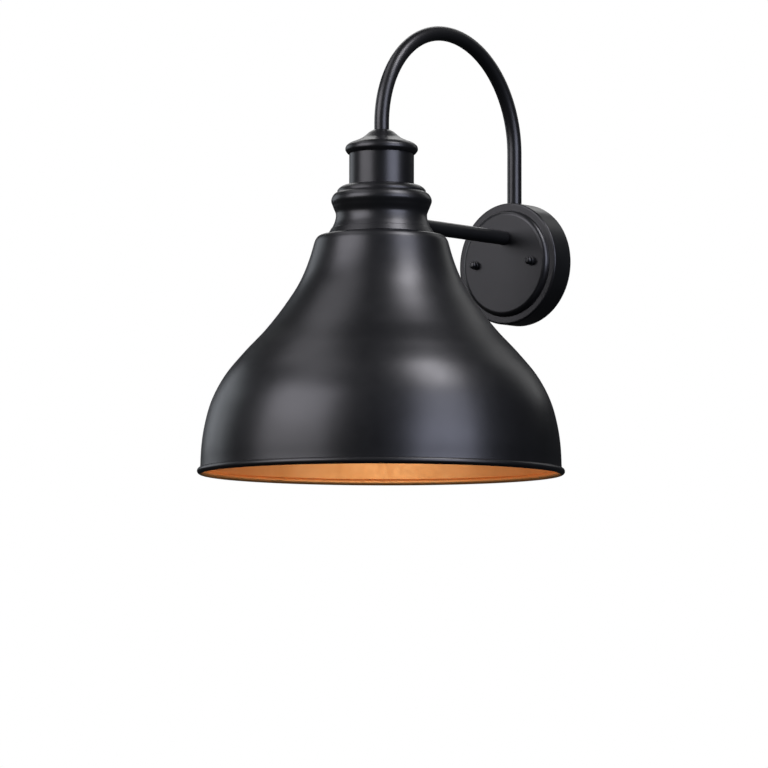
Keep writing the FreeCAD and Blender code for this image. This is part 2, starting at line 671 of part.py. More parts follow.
def socket_cup():
    """Drawn cup, open below, with a round-cornered top that the cap covers."""
    corner = CUP_SHEET * 1.6
    body = rod(CUP_R, at_lamp(0, CUP_SEAT_Z), at_lamp(0, CUP_TOP_Z))
    body = body.makeFillet(corner, top_edges(body, CUP_TOP_Z))
    hollow = rod(CUP_R - CUP_SHEET, at_lamp(0, CUP_SEAT_Z), at_lamp(0, CUP_INNER_TOP_Z))
    hollow = hollow.makeFillet(corner - CUP_SHEET * 0.5, top_edges(hollow, CUP_INNER_TOP_Z))
    hole = rod(NIPPLE_R + THREAD_GAP, at_lamp(0, CUP_SEAT_Z), at_lamp(0, CUP_TOP_Z + 1))
    return solid_of(body.cut(hollow).cut(hole))


def top_edges(shape, z):
    """Round edges of a solid at one height."""
    return [e for e in shape.Edges
            if abs(e.BoundBox.ZMin - z) < 1e-6 and abs(e.BoundBox.ZMax - z) < 1e-6]


def cap_spacer():
    """Bushing on the nipple that fills the space between the cap's top and the cup's."""
    return pipe(SPACER_R, NIPPLE_R + THREAD_GAP, at_lamp(0, CUP_TOP_Z),
                at_lamp(0, CAP_TOP_Z - CAP_SHEET))


# ---- Shade ---------------------------------------------------------------------------------


def shade_screw_places():
    """Three places on a circle, one at the front, none at the strut."""
    return [at_lamp(SHADE_SCREW_CIRCLE_R * math.cos(math.radians(a)), 0)
            + Vector(0, SHADE_SCREW_CIRCLE_R * math.sin(math.radians(a)), 0)
            for a in (-90, 30, 150)]


def skirt_start_dir():
    slope = math.radians(SHADE_START_DEG)
    return Vector(math.sin(slope), 0, -math.cos(slope))


def skirt_curve():
    """Outside of the bell from the shoulder's foot to the bead."""
    end_z = BEAD_Z + BEAD_R
    drop = SHADE_SHOULDER_Z - end_z
    growth = SHADE_WALL_R - SHADE_SHOULDER_R
    points = [at_lamp(SHADE_SHOULDER_R, SHADE_SHOULDER_Z)]
    points += [at_lamp(SHADE_SHOULDER_R + growth * g, SHADE_SHOULDER_Z - drop * d)
               for d, g in SKIRT_SHAPE]
    points.append(at_lamp(SHADE_WALL_R, end_z))
    return smooth(points, skirt_start_dir(), -Z_AXIS)


def shade():
    """Spun bell: flat top with a hole, round shoulder, flared skirt, rolled bead at the rim."""
    outer = skirt_curve()
    inner = beside(outer, SHADE_SHEET, Y_AXIS, 24)
    flat = at_lamp(SHADE_TOP_FLAT_R, SHADE_TOP_Z)
    flat_in = at_lamp(SHADE_TOP_FLAT_R, SHADE_TOP_Z - SHADE_SHEET)
    shoulder = smooth([flat, outer.StartPoint], X_AXIS, skirt_start_dir())
    shoulder_in = smooth([flat_in, inner.StartPoint], X_AXIS, skirt_start_dir())
    hole = at_lamp(SHADE_HOLE_R, SHADE_TOP_Z)
    hole_in = at_lamp(SHADE_HOLE_R, SHADE_TOP_Z - SHADE_SHEET)
    bead_start = outer.EndPoint
    inside_r = SHADE_WALL_R - SHADE_SHEET
    bead_end = at_lamp(inside_r, BEAD_Z + math.sqrt(BEAD_R ** 2 - SHADE_SHEET ** 2))
    bead = arc(bead_start, at_lamp(SHADE_WALL_R, SHADE_RIM_Z), bead_end)
    edges = [shoulder.toShape(), outer.toShape(), shoulder_in.toShape(), inner.toShape(), bead]
    edges += lines([flat, hole, hole_in, flat_in])
    edges += lines([inner.EndPoint, bead_end])
    body = turned(edges, LAMP_AXIS, Z_AXIS)
    for place in shade_screw_places():
        body = body.cut(rod(SHADE_SCREW_R + HOLE_GAP, place + Vector(0, 0, SHADE_TOP_Z - 5),
                            place + Vector(0, 0, SHADE_TOP_Z + 5)))
    return solid_of(body)


def shade_gasket():
    """Rubber ring between the collar's base and the shade."""
    ring = pipe(COLLAR_BASE_R - SHADE_GASKET_INSET, COLLAR_BORE_R, at_lamp(0, SHADE_TOP_Z),
                at_lamp(0, COLLAR_BASE_Z))
    for place in shade_screw_places():
        ring = ring.cut(rod(SHADE_SCREW_R + HOLE_GAP, place + Vector(0, 0, SHADE_TOP_Z - 1),
                            place + Vector(0, 0, COLLAR_BASE_Z + 1)))
    return ring


def pan_screw(place, under_head, length, shank_r):
    """Screw that points up: domed slotted head below, shank above."""
    foot = place + Vector(0, 0, under_head)
    shank = rod(shank_r, foot, foot + Vector(0, 0, length))
    head = rod(SCREW_HEAD_R, foot - Vector(0, 0, SCREW_HEAD_T), foot)
    low = foot.z - SCREW_HEAD_T
    head = head.makeFillet(SCREW_HEAD_T * 0.6, top_edges(head, low))
    slot = Part.makeBox(SCREW_HEAD_R * 3, 1.0, SCREW_HEAD_T * 0.5,
                        Vector(foot.x - SCREW_HEAD_R * 1.5, foot.y - 0.5, low))
    return solid_of(head.cut(slot).fuse(shank))


def shade_screws():
    """Screws from inside the shade up into the collar."""
    return group([pan_screw(place, SHADE_TOP_Z - SHADE_SHEET, SHADE_SCREW_LENGTH, SHADE_SCREW_R)
                  for place in shade_screw_places()])


# ---- Lampholder ----------------------------------------------------------------------------


def lampholder_bracket():
    """Steel strap clamped under the collar's ledge; the lampholder hangs from it."""
    plate = Part.makeBox(BRACKET_REACH * 2, BRACKET_WIDTH, BRACKET_T,
                         Vector(-BRACKET_REACH, LAMP_Y - BRACKET_WIDTH / 2, BRACKET_BOTTOM_Z))
    plate = plate.common(rod(COLLAR_BORE_R - HOLE_GAP, at_lamp(0, BRACKET_BOTTOM_Z),
                             at_lamp(0, BRACKET_TOP_Z)))
    plate = plate.cut(rod(NIPPLE_R + THREAD_GAP, at_lamp(0, BRACKET_BOTTOM_Z),
                          at_lamp(0, BRACKET_TOP_Z)))
    for x in (-HOLDER_SCREW_X, HOLDER_SCREW_X):
        plate = plate.cut(rod(HOLDER_SCREW_R, at_lamp(x, BRACKET_BOTTOM_Z),
                              at_lamp(x, BRACKET_TOP_Z)))
    return solid_of(plate)


def bracket_screws():
    """Screws down through the bracket into the lampholder, heads on top."""
    screws = []
    for x in (-HOLDER_SCREW_X, HOLDER_SCREW_X):
        head = rod(SCREW_HEAD_R, at_lamp(x, BRACKET_TOP_Z), at_lamp(x, BRACKET_TOP_Z + SCREW_HEAD_T))
        top = at_lamp(x, BRACKET_TOP_Z)
        shank = rod(HOLDER_SCREW_R, at_lamp(x, BRACKET_TOP_Z - HOLDER_SCREW_LENGTH), top)
        screws.append(solid_of(head.fuse(shank)))
    return group(screws)


def lampholder_body():
    """Porcelain body: wiring channel across the top, round socket below."""
    waist_z = HOLDER_FLOOR_Z
    outline = lines([at_lamp(0, BRACKET_BOTTOM_Z), at_lamp(HOLDER_R, BRACKET_BOTTOM_Z),
                     at_lamp(HOLDER_R, waist_z), at_lamp(HOLDER_MOUTH_R, waist_z - 3),
                     at_lamp(HOLDER_MOUTH_R, HOLDER_BOTTOM_Z + 1.5),
                     at_lamp(HOLDER_MOUTH_R - 1.5, HOLDER_BOTTOM_Z),
                     at_lamp(0, HOLDER_BOTTOM_Z), at_lamp(0, BRACKET_BOTTOM_Z)])
    body = turned(outline, LAMP_AXIS, Z_AXIS)
    channel = Part.makeBox(HOLDER_CHANNEL, HOLDER_R * 3, HOLDER_CHANNEL_DEPTH + 1,
                           Vector(-HOLDER_CHANNEL / 2, LAMP_Y - HOLDER_R * 1.5, CHANNEL_FLOOR_Z))
    socket = rod(SHELL_BORE_R + SHELL_SHEET + SLIP_GAP, at_lamp(0, HOLDER_BOTTOM_Z),
                 at_lamp(0, HOLDER_FLOOR_Z))
    body = body.cut(channel).cut(socket)
    for side in (-1, 1):
        flat = terminal_seat_y(side)
        far = LAMP_Y + side * HOLDER_R * 1.5
        body = body.cut(Part.makeBox(TERMINAL_WIDTH + 1, abs(far - flat),
                                     CHANNEL_FLOOR_Z - HOLDER_FLOOR_Z + HOLDER_CHANNEL_DEPTH,
                                     Vector(-TERMINAL_WIDTH / 2 - 0.5, min(flat, far),
                                            TERMINAL_TOP_Z - TERMINAL_HEIGHT)))
    for x in (-HOLDER_SCREW_X, HOLDER_SCREW_X):
        body = body.cut(rod(HOLDER_SCREW_R, at_lamp(x, BRACKET_TOP_Z - HOLDER_SCREW_LENGTH),
                            at_lamp(x, BRACKET_BOTTOM_Z + 1)))
    return solid_of(body)


def terminal_seat_y(side):
    """Flat on the lampholder's side that a terminal block is screwed to."""
    return LAMP_Y + side * (HOLDER_R - TERMINAL_DEPTH * 0.5)


def lead_drop_y(side):
    """Where a lead comes down onto its terminal block."""
    return terminal_seat_y(side) + side * TERMINAL_DEPTH * 0.5


def terminals():
    """Brass block and clamp screw on each side of the lampholder."""
    blocks = []
    middle_z = TERMINAL_TOP_Z - TERMINAL_HEIGHT / 2
    for side in (-1, 1):
        near = terminal_seat_y(side)
        far = near + side * TERMINAL_DEPTH
        block = Part.makeBox(TERMINAL_WIDTH, TERMINAL_DEPTH, TERMINAL_HEIGHT,
                             Vector(-TERMINAL_WIDTH / 2, min(near, far),
                                    TERMINAL_TOP_Z - TERMINAL_HEIGHT))
        head = rod(TERMINAL_HEIGHT * 0.4, Vector(0, far, middle_z),
                   Vector(0, far + side * 1.5, middle_z))
        blocks.append(solid_of(block.fuse(head)))
    return group(blocks)


def thread_rings(root_r, crest_r, top_z, turns):
    """Rounded rings up a profile, from the top down, one for each turn of a rolled thread."""
    edges = []
    z = top_z
    for _ in range(turns):
        low = z - THREAD_PITCH
        edges.append(arc(at_lamp(root_r, z), at_lamp(crest_r, z - THREAD_PITCH / 2),
                         at_lamp(root_r, low)))
        z = low
    return edges, z


def screw_shell():
    """Thin metal sleeve that the bulb's base screws into, with its end turned in."""
    top = at_lamp(0, HOLDER_FLOOR_Z)
    sleeve = pipe(SHELL_BORE_R + SHELL_SHEET, SHELL_BORE_R, at_lamp(0, HOLDER_BOTTOM_Z), top)
    end = pipe(SHELL_BORE_R + SHELL_SHEET, CONTACT_R + SHELL_SHEET * 3,
               at_lamp(0, HOLDER_FLOOR_Z - SHELL_SHEET), top)
    return solid_of(sleeve.fuse(end))


def centre_contact():
    """Brass disc at the end of the socket."""
    return rod(CONTACT_R, at_lamp(0, HOLDER_FLOOR_Z - CONTACT_T),
               at_lamp(0, HOLDER_FLOOR_Z))


# ---- Wiring ----------------------------------------------------------------------------------


def lead(side):
    """From a terminal, through nipple and arm, into the canopy and to a wire nut.

    The whole run lies beside the arm's line until it turns to its own side in the canopy.
    """
    x = LEAD_SIDE * side
    drop_y = lead_drop_y(side)
    level_z = CHANNEL_FLOOR_Z + LEAD_R + LEAD_FLOOR_GAP
    start = Vector(x, drop_y, TERMINAL_TOP_Z)
    side_corner = Vector(x, drop_y, level_z)
    mid_corner = Vector(x, LAMP_Y, level_z)
    lamp_bend = Vector(x, LAMP_Y, ARM_BEND_Z)
    wall_bend = Vector(x, ARM_WALL_Y, WALL_BEND_Z)
    turn = Vector(x, ARM_WALL_Y, WIRE_NUT_Z)
    end = Vector(WIRE_NUT_X * side, ARM_WALL_Y, WIRE_NUT_Z)
    bend = LEAD_BEND_R
    wide = CANOPY_BEND_R
    edges = corner_edges(start, side_corner, mid_corner, bend)
    here = edges[-1].Vertexes[-1].Point
    edges += corner_edges(here, mid_corner, lamp_bend, bend)
    here = edges[-1].Vertexes[-1].Point
    edges.append(Part.makeLine(here, lamp_bend))
    edges += arm_bend(x)
    edges += corner_edges(wall_bend, turn, end, wide)
    here = edges[-1].Vertexes[-1].Point
    edges.append(Part.makeLine(here, end))
    section = Part.Wire(Part.makeCircle(LEAD_R, start, Z_AXIS))
    return Part.Wire(edges).makePipeShell([section], True, False)


def corner_edges(start, corner, after, bend):
    """Straight run up to a square corner, and the quarter circle round it."""
    back = (start - corner).normalize()
    ahead = (after - corner).normalize()
    enter = corner + back * bend
    leave = corner + ahead * bend
    middle = corner + (back + ahead) * (bend * (1 - math.sqrt(0.5)))
    edges = []
    if (enter - start).Length > 1e-6:
        edges.append(Part.makeLine(start, enter))
    edges.append(arc(enter, middle, leave))
    return edges


def wire_nuts():
    """Twist-on connectors for joining the leads to the house supply."""
    nuts = []
    for side in (-1, 1):
        mouth = Vector(WIRE_NUT_X * side, ARM_WALL_Y, WIRE_NUT_Z)
        along = Vector(side, 0, 0)
        skirt = WIRE_NUT_LENGTH * 0.35
        foot = rod(WIRE_NUT_R, mouth, mouth + along * skirt)
        cone = Part.makeCone(WIRE_NUT_R * 0.92, WIRE_NUT_R * 0.6, WIRE_NUT_LENGTH - skirt,
                             mouth + along * skirt, along)
        nuts.append(solid_of(foot.fuse(cone)))
    return group(nuts)


# ---- Bulb --------------------------------------------------------------------------------------


def bulb_glass_curve():
    """Outside of the glass from the neck in the base down to the end of the globe."""
    centre = BULB_CENTRE_Z
    flare_z = (BASE_BOTTOM_Z + centre) / 2
    join = math.radians(22)
    return [at_lamp(BULB_NECK_R, GLASS_TOP_Z),
            at_lamp(BULB_NECK_R, BASE_BOTTOM_Z - BULB_GLASS_T * 2),
            at_lamp(BULB_NECK_R + (BULB_R - BULB_NECK_R) * 0.26, flare_z + 3.0),
            at_lamp(BULB_R * math.cos(join), centre + BULB_R * math.sin(join)),
            at_lamp(BULB_R, centre),
            at_lamp(BULB_R * math.sqrt(0.5), centre - BULB_R * math.sqrt(0.5)),
            at_lamp(0, BULB_END_Z)]


def bulb_glass():
    """Blown globe, hollow, open at the neck."""
    outer = smooth(bulb_glass_curve(), Vector(0, 0, -1), Vector(-1, 0, 0))
    inner = beside(outer, BULB_GLASS_T, Y_AXIS, 24)
    edges = [outer.toShape(), inner.toShape()]
    edges += lines([outer.StartPoint, inner.StartPoint])
    edges += lines([outer.EndPoint, inner.EndPoint])
    return turned(edges, LAMP_AXIS, Z_AXIS)


def bulb_base():
    """Thin screw shell with rolled rings, cupped over the insulator's foot."""
    turns = int((BASE_LENGTH - 4.0) / THREAD_PITCH)
    rings, skirt_z = thread_rings(BASE_ROOT_R, BASE_THREAD_R, BASE_TOP_Z - 2.0, turns)
    bore_r = BASE_ROOT_R - BASE_SHEET
    neck_r = BULB_NECK_R + THREAD_GAP
    skirt_r = neck_r + BASE_SHEET
    seat_z = GLASS_TOP_Z + HOLE_GAP
    edges = lines([at_lamp(BASE_TOP_R - BASE_SHEET, BASE_TOP_Z), at_lamp(BASE_TOP_R, BASE_TOP_Z),
                   at_lamp(BASE_ROOT_R, BASE_TOP_Z - 2.0)])
    edges += rings
    edges += lines([at_lamp(BASE_ROOT_R, skirt_z), at_lamp(skirt_r, skirt_z - 0.3),
                    at_lamp(skirt_r, BASE_BOTTOM_Z), at_lamp(neck_r, BASE_BOTTOM_Z),
                    at_lamp(neck_r, seat_z), at_lamp(bore_r, seat_z),
                    at_lamp(bore_r, BASE_TOP_Z - 2.0), at_lamp(BASE_TOP_R - BASE_SHEET, BASE_TOP_Z)])
    return turned(edges, LAMP_AXIS, Z_AXIS)


def bulb_insulator():
    """Black glass cone between the shell and the tip contact."""
    cone = Part.makeCone(BASE_TOP_R - BASE_SHEET, TIP_R + 0.6, INSULATOR_T,
                         at_lamp(0, BASE_TOP_Z), Z_AXIS)
    plug = rod(BASE_TOP_R - BASE_SHEET, at_lamp(0, BASE_TOP_Z - 1.5), at_lamp(0, BASE_TOP_Z))
    return solid_of(cone.fuse(plug))


def bulb_contact():
    """Soldered tip."""
    low = BULB_TIP_Z - TIP_T
    tip = rod(TIP_R, at_lamp(0, low), at_lamp(0, BULB_TIP_Z))
    return tip.makeFillet(TIP_T * 0.6, top_edges(tip, BULB_TIP_Z))


def bulb_stem():
    """Glass mount: flared foot sealed in the neck, tube, flat press at the end."""
    flare_z = GLASS_TOP_Z
    tube_z = STEM_TIP_Z + STEM_PRESS_LENGTH
    foot_r = BULB_NECK_R - BULB_GLASS_T - THREAD_GAP
    edges = lines([at_lamp(0, flare_z), at_lamp(foot_r, flare_z), at_lamp(foot_r, flare_z - 1.2)])
    edges.append(smooth([at_lamp(foot_r, flare_z - 1.2), at_lamp(STEM_R, flare_z - 12)],
                        Vector(-1, 0, -0.4), Vector(0, 0, -1)).toShape())
    edges += lines([at_lamp(STEM_R, flare_z - 12), at_lamp(STEM_R, tube_z), at_lamp(0, tube_z),
                    at_lamp(0, flare_z)])
    mount = turned(edges, LAMP_AXIS, Z_AXIS)
    press = Part.makeBox(STEM_R * 2, STEM_R * 0.7, STEM_PRESS_LENGTH,
                         Vector(-STEM_R, LAMP_Y - STEM_R * 0.35, STEM_TIP_Z))
    return solid_of(mount.fuse(press))


def bulb_supports():
    """Two stiff wires: straight out of the press, spread, then straight to the filament's ends."""
    wires = []
    for side in (-1, 1):
        near = side * STEM_R * 0.6
        far = side * FILAMENT_R
        step = SUPPORT_LENGTH / 4
        points = [at_lamp(near, STEM_TIP_Z), at_lamp(near, STEM_TIP_Z - step),
                  at_lamp(far, STEM_TIP_Z - step * 3), at_lamp(far, STEM_TIP_Z - SUPPORT_LENGTH)]
        wires.append(bent_wire(SUPPORT_WIRE_R, points, [step * 0.8, step * 0.8]))
    return group(wires)


def bulb_filament():
    """Coiled wire, taken as one round bar, in a shallow arch between the supports."""
    reach = FILAMENT_R - SUPPORT_WIRE_R
    end_z = STEM_TIP_Z - SUPPORT_LENGTH + FILAMENT_WIRE_R * 2
    sag = FILAMENT_R * 0.35
    path = Part.Wire([arc(at_lamp(-reach, end_z), at_lamp(0, end_z - sag), at_lamp(reach, end_z))])
    first = path.Edges[0]
    section = Part.Wire(Part.makeCircle(FILAMENT_WIRE_R, at_lamp(-reach, end_z),
                                        first.tangentAt(first.FirstParameter)))
    return path.makePipeShell([section], True, False)


# ---- All of it ---------------------------------------------------------------------------------


def parts():
    return {
        "wall_gasket": wall_gasket(),
        "canopy": canopy(),
        "crossbar": crossbar(),
        "crossbar_studs": crossbar_studs(),
        "stud_lock_nuts": stud_lock_nuts(),
        "cap_nuts": cap_nuts(),
        "ground_screw": ground_screw(),
        "ground_lug": ground_lug(),
        "ground_wire": ground_wire(),
        "gooseneck_arm": gooseneck_arm(),
        "arm_wall_nipple": arm_wall_nipple(),
        "lamp_nipple": lamp_nipple(),
        "strut": strut(),
        "strut_wall_nipple": strut_wall_nipple(),
        "strut_neck_nipple": strut_neck_nipple(),
        "lock_nuts": lock_nuts(),
        "canopy_saddle_washer": canopy_saddle_washer(),
        "neck_saddle_washer": neck_saddle_washer(),
        "strut_washer": strut_washer(),
        "top_cap": top_cap(),
        "cap_spacer": cap_spacer(),
        "socket_cup": socket_cup(),
        "neck_collar": neck_collar(),
        "shade_gasket": shade_gasket(),
        "shade": shade(),
        "shade_screws": shade_screws(),
        "lampholder_bracket": lampholder_bracket(),
        "bracket_screws": bracket_screws(),
        "lampholder_body": lampholder_body(),
        "screw_shell": screw_shell(),
        "centre_contact": centre_contact(),
        "terminals": terminals(),
        "lead_black": lead(-1),
        "lead_white": lead(1),
        "wire_nuts": wire_nuts(),
        "bulb_glass": bulb_glass(),
        "bulb_base": bulb_base(),
        "bulb_insulator": bulb_insulator(),
        "bulb_contact": bulb_contact(),
        "bulb_stem": bulb_stem(),
        "bulb_supports": bulb_supports(),
        "bulb_filament": bulb_filament(),
    }


os.makedirs("parts", exist_ok=True)
for name, shape in parts().items():
    shape.exportStep("parts/" + name + ".step")
    print(name, len(shape.Solids), "solids", round(shape.Volume, 1), "mm3", shape.isValid())
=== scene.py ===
import json
import math

import bmesh
import bpy
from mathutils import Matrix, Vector


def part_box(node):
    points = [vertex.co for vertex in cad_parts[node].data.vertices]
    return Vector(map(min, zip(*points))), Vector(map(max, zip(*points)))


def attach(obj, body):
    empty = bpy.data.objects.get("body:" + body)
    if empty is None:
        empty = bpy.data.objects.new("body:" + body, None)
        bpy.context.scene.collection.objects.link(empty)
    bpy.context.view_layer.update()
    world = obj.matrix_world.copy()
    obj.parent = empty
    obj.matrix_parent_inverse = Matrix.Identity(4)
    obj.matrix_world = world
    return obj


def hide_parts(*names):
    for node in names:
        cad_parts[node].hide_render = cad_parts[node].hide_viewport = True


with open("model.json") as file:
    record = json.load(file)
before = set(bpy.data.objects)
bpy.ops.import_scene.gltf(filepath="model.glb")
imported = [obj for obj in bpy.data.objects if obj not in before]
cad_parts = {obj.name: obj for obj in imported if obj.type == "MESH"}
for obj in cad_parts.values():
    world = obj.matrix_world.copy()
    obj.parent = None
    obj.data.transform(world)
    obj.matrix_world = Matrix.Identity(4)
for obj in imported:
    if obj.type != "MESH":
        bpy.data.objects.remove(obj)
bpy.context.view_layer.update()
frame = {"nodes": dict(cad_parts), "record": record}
NODES = frame["nodes"]

# ---- Places and sizes, in metres, taken from the frame ---------------------------------------

MM = 0.001
SHADE_LOW, SHADE_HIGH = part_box("shade")
COLLAR_LOW, COLLAR_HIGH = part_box("neck_collar")
CUP_LOW, CUP_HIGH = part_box("socket_cup")
CAP_LOW, CAP_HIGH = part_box("top_cap")
CANOPY_LOW, CANOPY_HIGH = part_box("canopy")
CAP_NUTS_LOW, CAP_NUTS_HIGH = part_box("cap_nuts")
BASE_LOW, BASE_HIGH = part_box("bulb_base")
FILAMENT_LOW, FILAMENT_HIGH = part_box("bulb_filament")
WIRE_NUTS_LOW, WIRE_NUTS_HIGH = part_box("wire_nuts")
STRUT_LOW, STRUT_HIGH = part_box("strut")
ARM_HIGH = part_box("gooseneck_arm")[1]

SHADE_R = min(SHADE_HIGH.x, -SHADE_LOW.x)
LAMP_Y = (SHADE_LOW.y + SHADE_HIGH.y) / 2
RIM_Z = SHADE_LOW.z
SHADE_TOP_Z = SHADE_HIGH.z
COLLAR_R = min(COLLAR_HIGH.x, -COLLAR_LOW.x)
CUP_R = min(CUP_HIGH.x, -CUP_LOW.x)
CANOPY_R = min(CANOPY_HIGH.x, -CANOPY_LOW.x)
CANOPY_BACK = -CANOPY_HIGH.y
CANOPY_DEPTH = -CANOPY_LOW.y
STRUT_Z = (STRUT_LOW.z + STRUT_HIGH.z) / 2
TUBE_R = ARM_HIGH.x

# ---- Curves ------------------------------------------------------------------------------------
# Outlines are lists of (radius, height) points. A third number rounds that corner.


def arc_points(centre, radius, start_deg, end_deg, steps):
    """Points round a circle's arc, both ends included."""
    points = []
    for i in range(steps + 1):
        a = math.radians(start_deg + (end_deg - start_deg) * i / steps)
        points.append((centre[0] + radius * math.cos(a), centre[1] + radius * math.sin(a)))
    return points


def arc_through(first, middle, last, steps):
    """Points of the circle's arc from first to last by way of middle."""
    (ax, ay), (bx, by), (cx, cy) = first, middle, last
    d = 2 * (ax * (by - cy) + bx * (cy - ay) + cx * (ay - by))
    sa, sb, sc = ax * ax + ay * ay, bx * bx + by * by, cx * cx + cy * cy
    centre = ((sa * (by - cy) + sb * (cy - ay) + sc * (ay - by)) / d,
              (sa * (cx - bx) + sb * (ax - cx) + sc * (bx - ax)) / d)
    start, via, end = (math.degrees(math.atan2(p[1] - centre[1], p[0] - centre[0]))
                       for p in (first, middle, last))
    full = (end - start) % 360
    if (via - start) % 360 > full:
        full -= 360
    return arc_points(centre, math.dist(centre, first), start, start + full, steps)


def smooth_points(points, steps, start_dir=None, end_dir=None):
    """Smooth curve through points, in cubic spans of the given number of steps."""
    knots = [0.0]
    for a, b in zip(points, points[1:]):
        knots.append(knots[-1] + math.dist(a, b))
    chords = [tuple((b[k] - a[k]) / (kb - ka) for k in (0, 1))
              for a, b, ka, kb in zip(points, points[1:], knots, knots[1:])]
    slopes = [start_dir or chords[0]]
    for i in range(1, len(points) - 1):
        near, far = knots[i] - knots[i - 1], knots[i + 1] - knots[i]
        slopes.append(tuple((chords[i - 1][k] * far + chords[i][k] * near) / (near + far)
                            for k in (0, 1)))
    slopes.append(end_dir or chords[-1])
    result = []
    for i, chord in enumerate(chords):
        span = knots[i + 1] - knots[i]
        for j in range(steps):
            t = j / steps
            ease = t * t * (3 - 2 * t)
            leave = t * (1 - t) ** 2 * span
            arrive = t * t * (t - 1) * span
            result.append(tuple(points[i][k] + chord[k] * span * ease + slopes[i][k] * leave
                                + slopes[i + 1][k] * arrive for k in (0, 1)))
    return result + [points[-1]]


def beside(points, distance):
    """The same curve moved sideways, to the right of its direction."""
    moved = []
    for i, here in enumerate(points):
        before, after = points[max(i - 1, 0)], points[min(i + 1, len(points) - 1)]
        dx, dz = after[0] - before[0], after[1] - before[1]
        length = math.hypot(dx, dz)
        moved.append((here[0] + dz / length * distance, here[1] - dx / length * distance))
    return moved


def rounded(outline, steps=6):
    """Closed outline with its marked corners rounded, and a point just beyond each arc's ends."""
    result = []
    for i, corner in enumerate(outline):
        here = Vector(corner[:2])
        if len(corner) < 3:
            result.append(tuple(here))
            continue
        before = Vector(outline[i - 1][:2])
        after = Vector(outline[(i + 1) % len(outline)][:2])
        back, ahead = (before - here).normalized(), (after - here).normalized()
        half = back.angle(ahead) / 2
        reach = corner[2] / math.tan(half)
        centre = here + (back + ahead).normalized() * (corner[2] / math.sin(half))
        enter, leave = here + back * reach, here + ahead * reach
        middle = centre + (here - centre).normalized() * corner[2]
        if (before - here).length > reach * 3:
            result.append(tuple(enter + back * reach * 0.3))
        result += arc_through(tuple(enter), tuple(middle), tuple(leave), steps)
        if (after - here).length > reach * 3:
            result.append(tuple(leave + ahead * reach * 0.3))
    return result


# ---- Meshes ------------------------------------------------------------------------------------


def lamp_place(radius, height, angle):
    """Point turned about the lamp's upright axis."""
    return (radius * math.cos(angle), LAMP_Y + radius * math.sin(angle), height)


def wall_place(radius, depth, angle, x=0.0):
    """Point turned about an axis square to the wall, at a depth out from the wall."""
    return (x + radius * math.cos(angle), -depth, radius * math.sin(angle))


def turned(outline, place, steps=256):
    """Vertices and faces of a closed outline turned about an axis."""
    verts, rings = [], []
    for radius, height in outline:
        if radius < 1e-7:
            rings.append([len(verts)] * steps)
            verts.append(place(0, height, 0))
        else:
            rings.append(list(range(len(verts), len(verts) + steps)))
            verts += [place(radius, height, math.tau * i / steps) for i in range(steps)]
    faces = []
    for low, high in zip(rings, rings[1:] + rings[:1]):
        for i in range(steps):
            j = (i + 1) % steps
            corners = list(dict.fromkeys([low[i], low[j], high[j], high[i]]))
            if len(corners) > 2:
                faces.append(corners)
    return verts, faces


def finish_mesh(obj, sharp_deg=35):
    """Normals outwards, smooth but for its sharp edges."""
    work = bmesh.new()
    work.from_mesh(obj.data)
    bmesh.ops.recalc_face_normals(work, faces=work.faces)
    work.to_mesh(obj.data)
    work.free()
    obj.data.shade_smooth()
    obj.data.set_sharp_from_angle(angle=math.radians(sharp_deg))
    return obj


def mesh_object(name, *shells):
    """One object from one or more (vertices, faces) shells."""
    verts, faces = [], []
    for shell_verts, shell_faces in shells:
        start = len(verts)
        verts += shell_verts
        faces += [[start + i for i in face] for face in shell_faces]
    mesh = bpy.data.meshes.new(name)
    mesh.from_pydata(verts, [], faces)
    obj = bpy.data.objects.new(name, mesh)
    bpy.context.scene.collection.objects.link(obj)
    return finish_mesh(obj)


def swept(path, radius, sides):
    """Vertices and faces of a round wire along a path of points."""
    verts, faces = [], []
    side = Vector((0, 1, 0))
    for i, here in enumerate(path):
        along = (path[min(i + 1, len(path) - 1)] - path[max(i - 1, 0)]).normalized()
        side = (side - along * side.dot(along)).normalized()
        other = along.cross(side)
        verts += [here + (side * math.cos(a) + other * math.sin(a)) * radius
                  for a in (math.tau * k / sides for k in range(sides))]
    for i in range(len(path) - 1):
        for k in range(sides):
            j = (k + 1) % sides
            faces.append([i * sides + k, i * sides + j, (i + 1) * sides + j, (i + 1) * sides + k])
    faces.append(list(range(sides - 1, -1, -1)))
    faces.append([(len(path) - 1) * sides + k for k in range(sides)])
    return verts, faces


def drill(obj, *rods):
    """Cuts round holes. A rod is (radius, start, end)."""
    cutters = []
    for radius, start, end in rods:
        cutter = mesh_object("cutter", swept([Vector(start), Vector(end)], radius, sides=64))
        step = obj.modifiers.new("hole", "BOOLEAN")
        step.operation = "DIFFERENCE"
        step.solver = "EXACT"
        step.object = cutter
        cutters.append(cutter)
    depsgraph = bpy.context.evaluated_depsgraph_get()
    mesh = bpy.data.meshes.new_from_object(obj.evaluated_get(depsgraph))
    obj.modifiers.clear()
    obj.data = mesh
    for cutter in cutters:
        bpy.data.objects.remove(cutter)
    return finish_mesh(obj)


# ---- Materials ---------------------------------------------------------------------------------


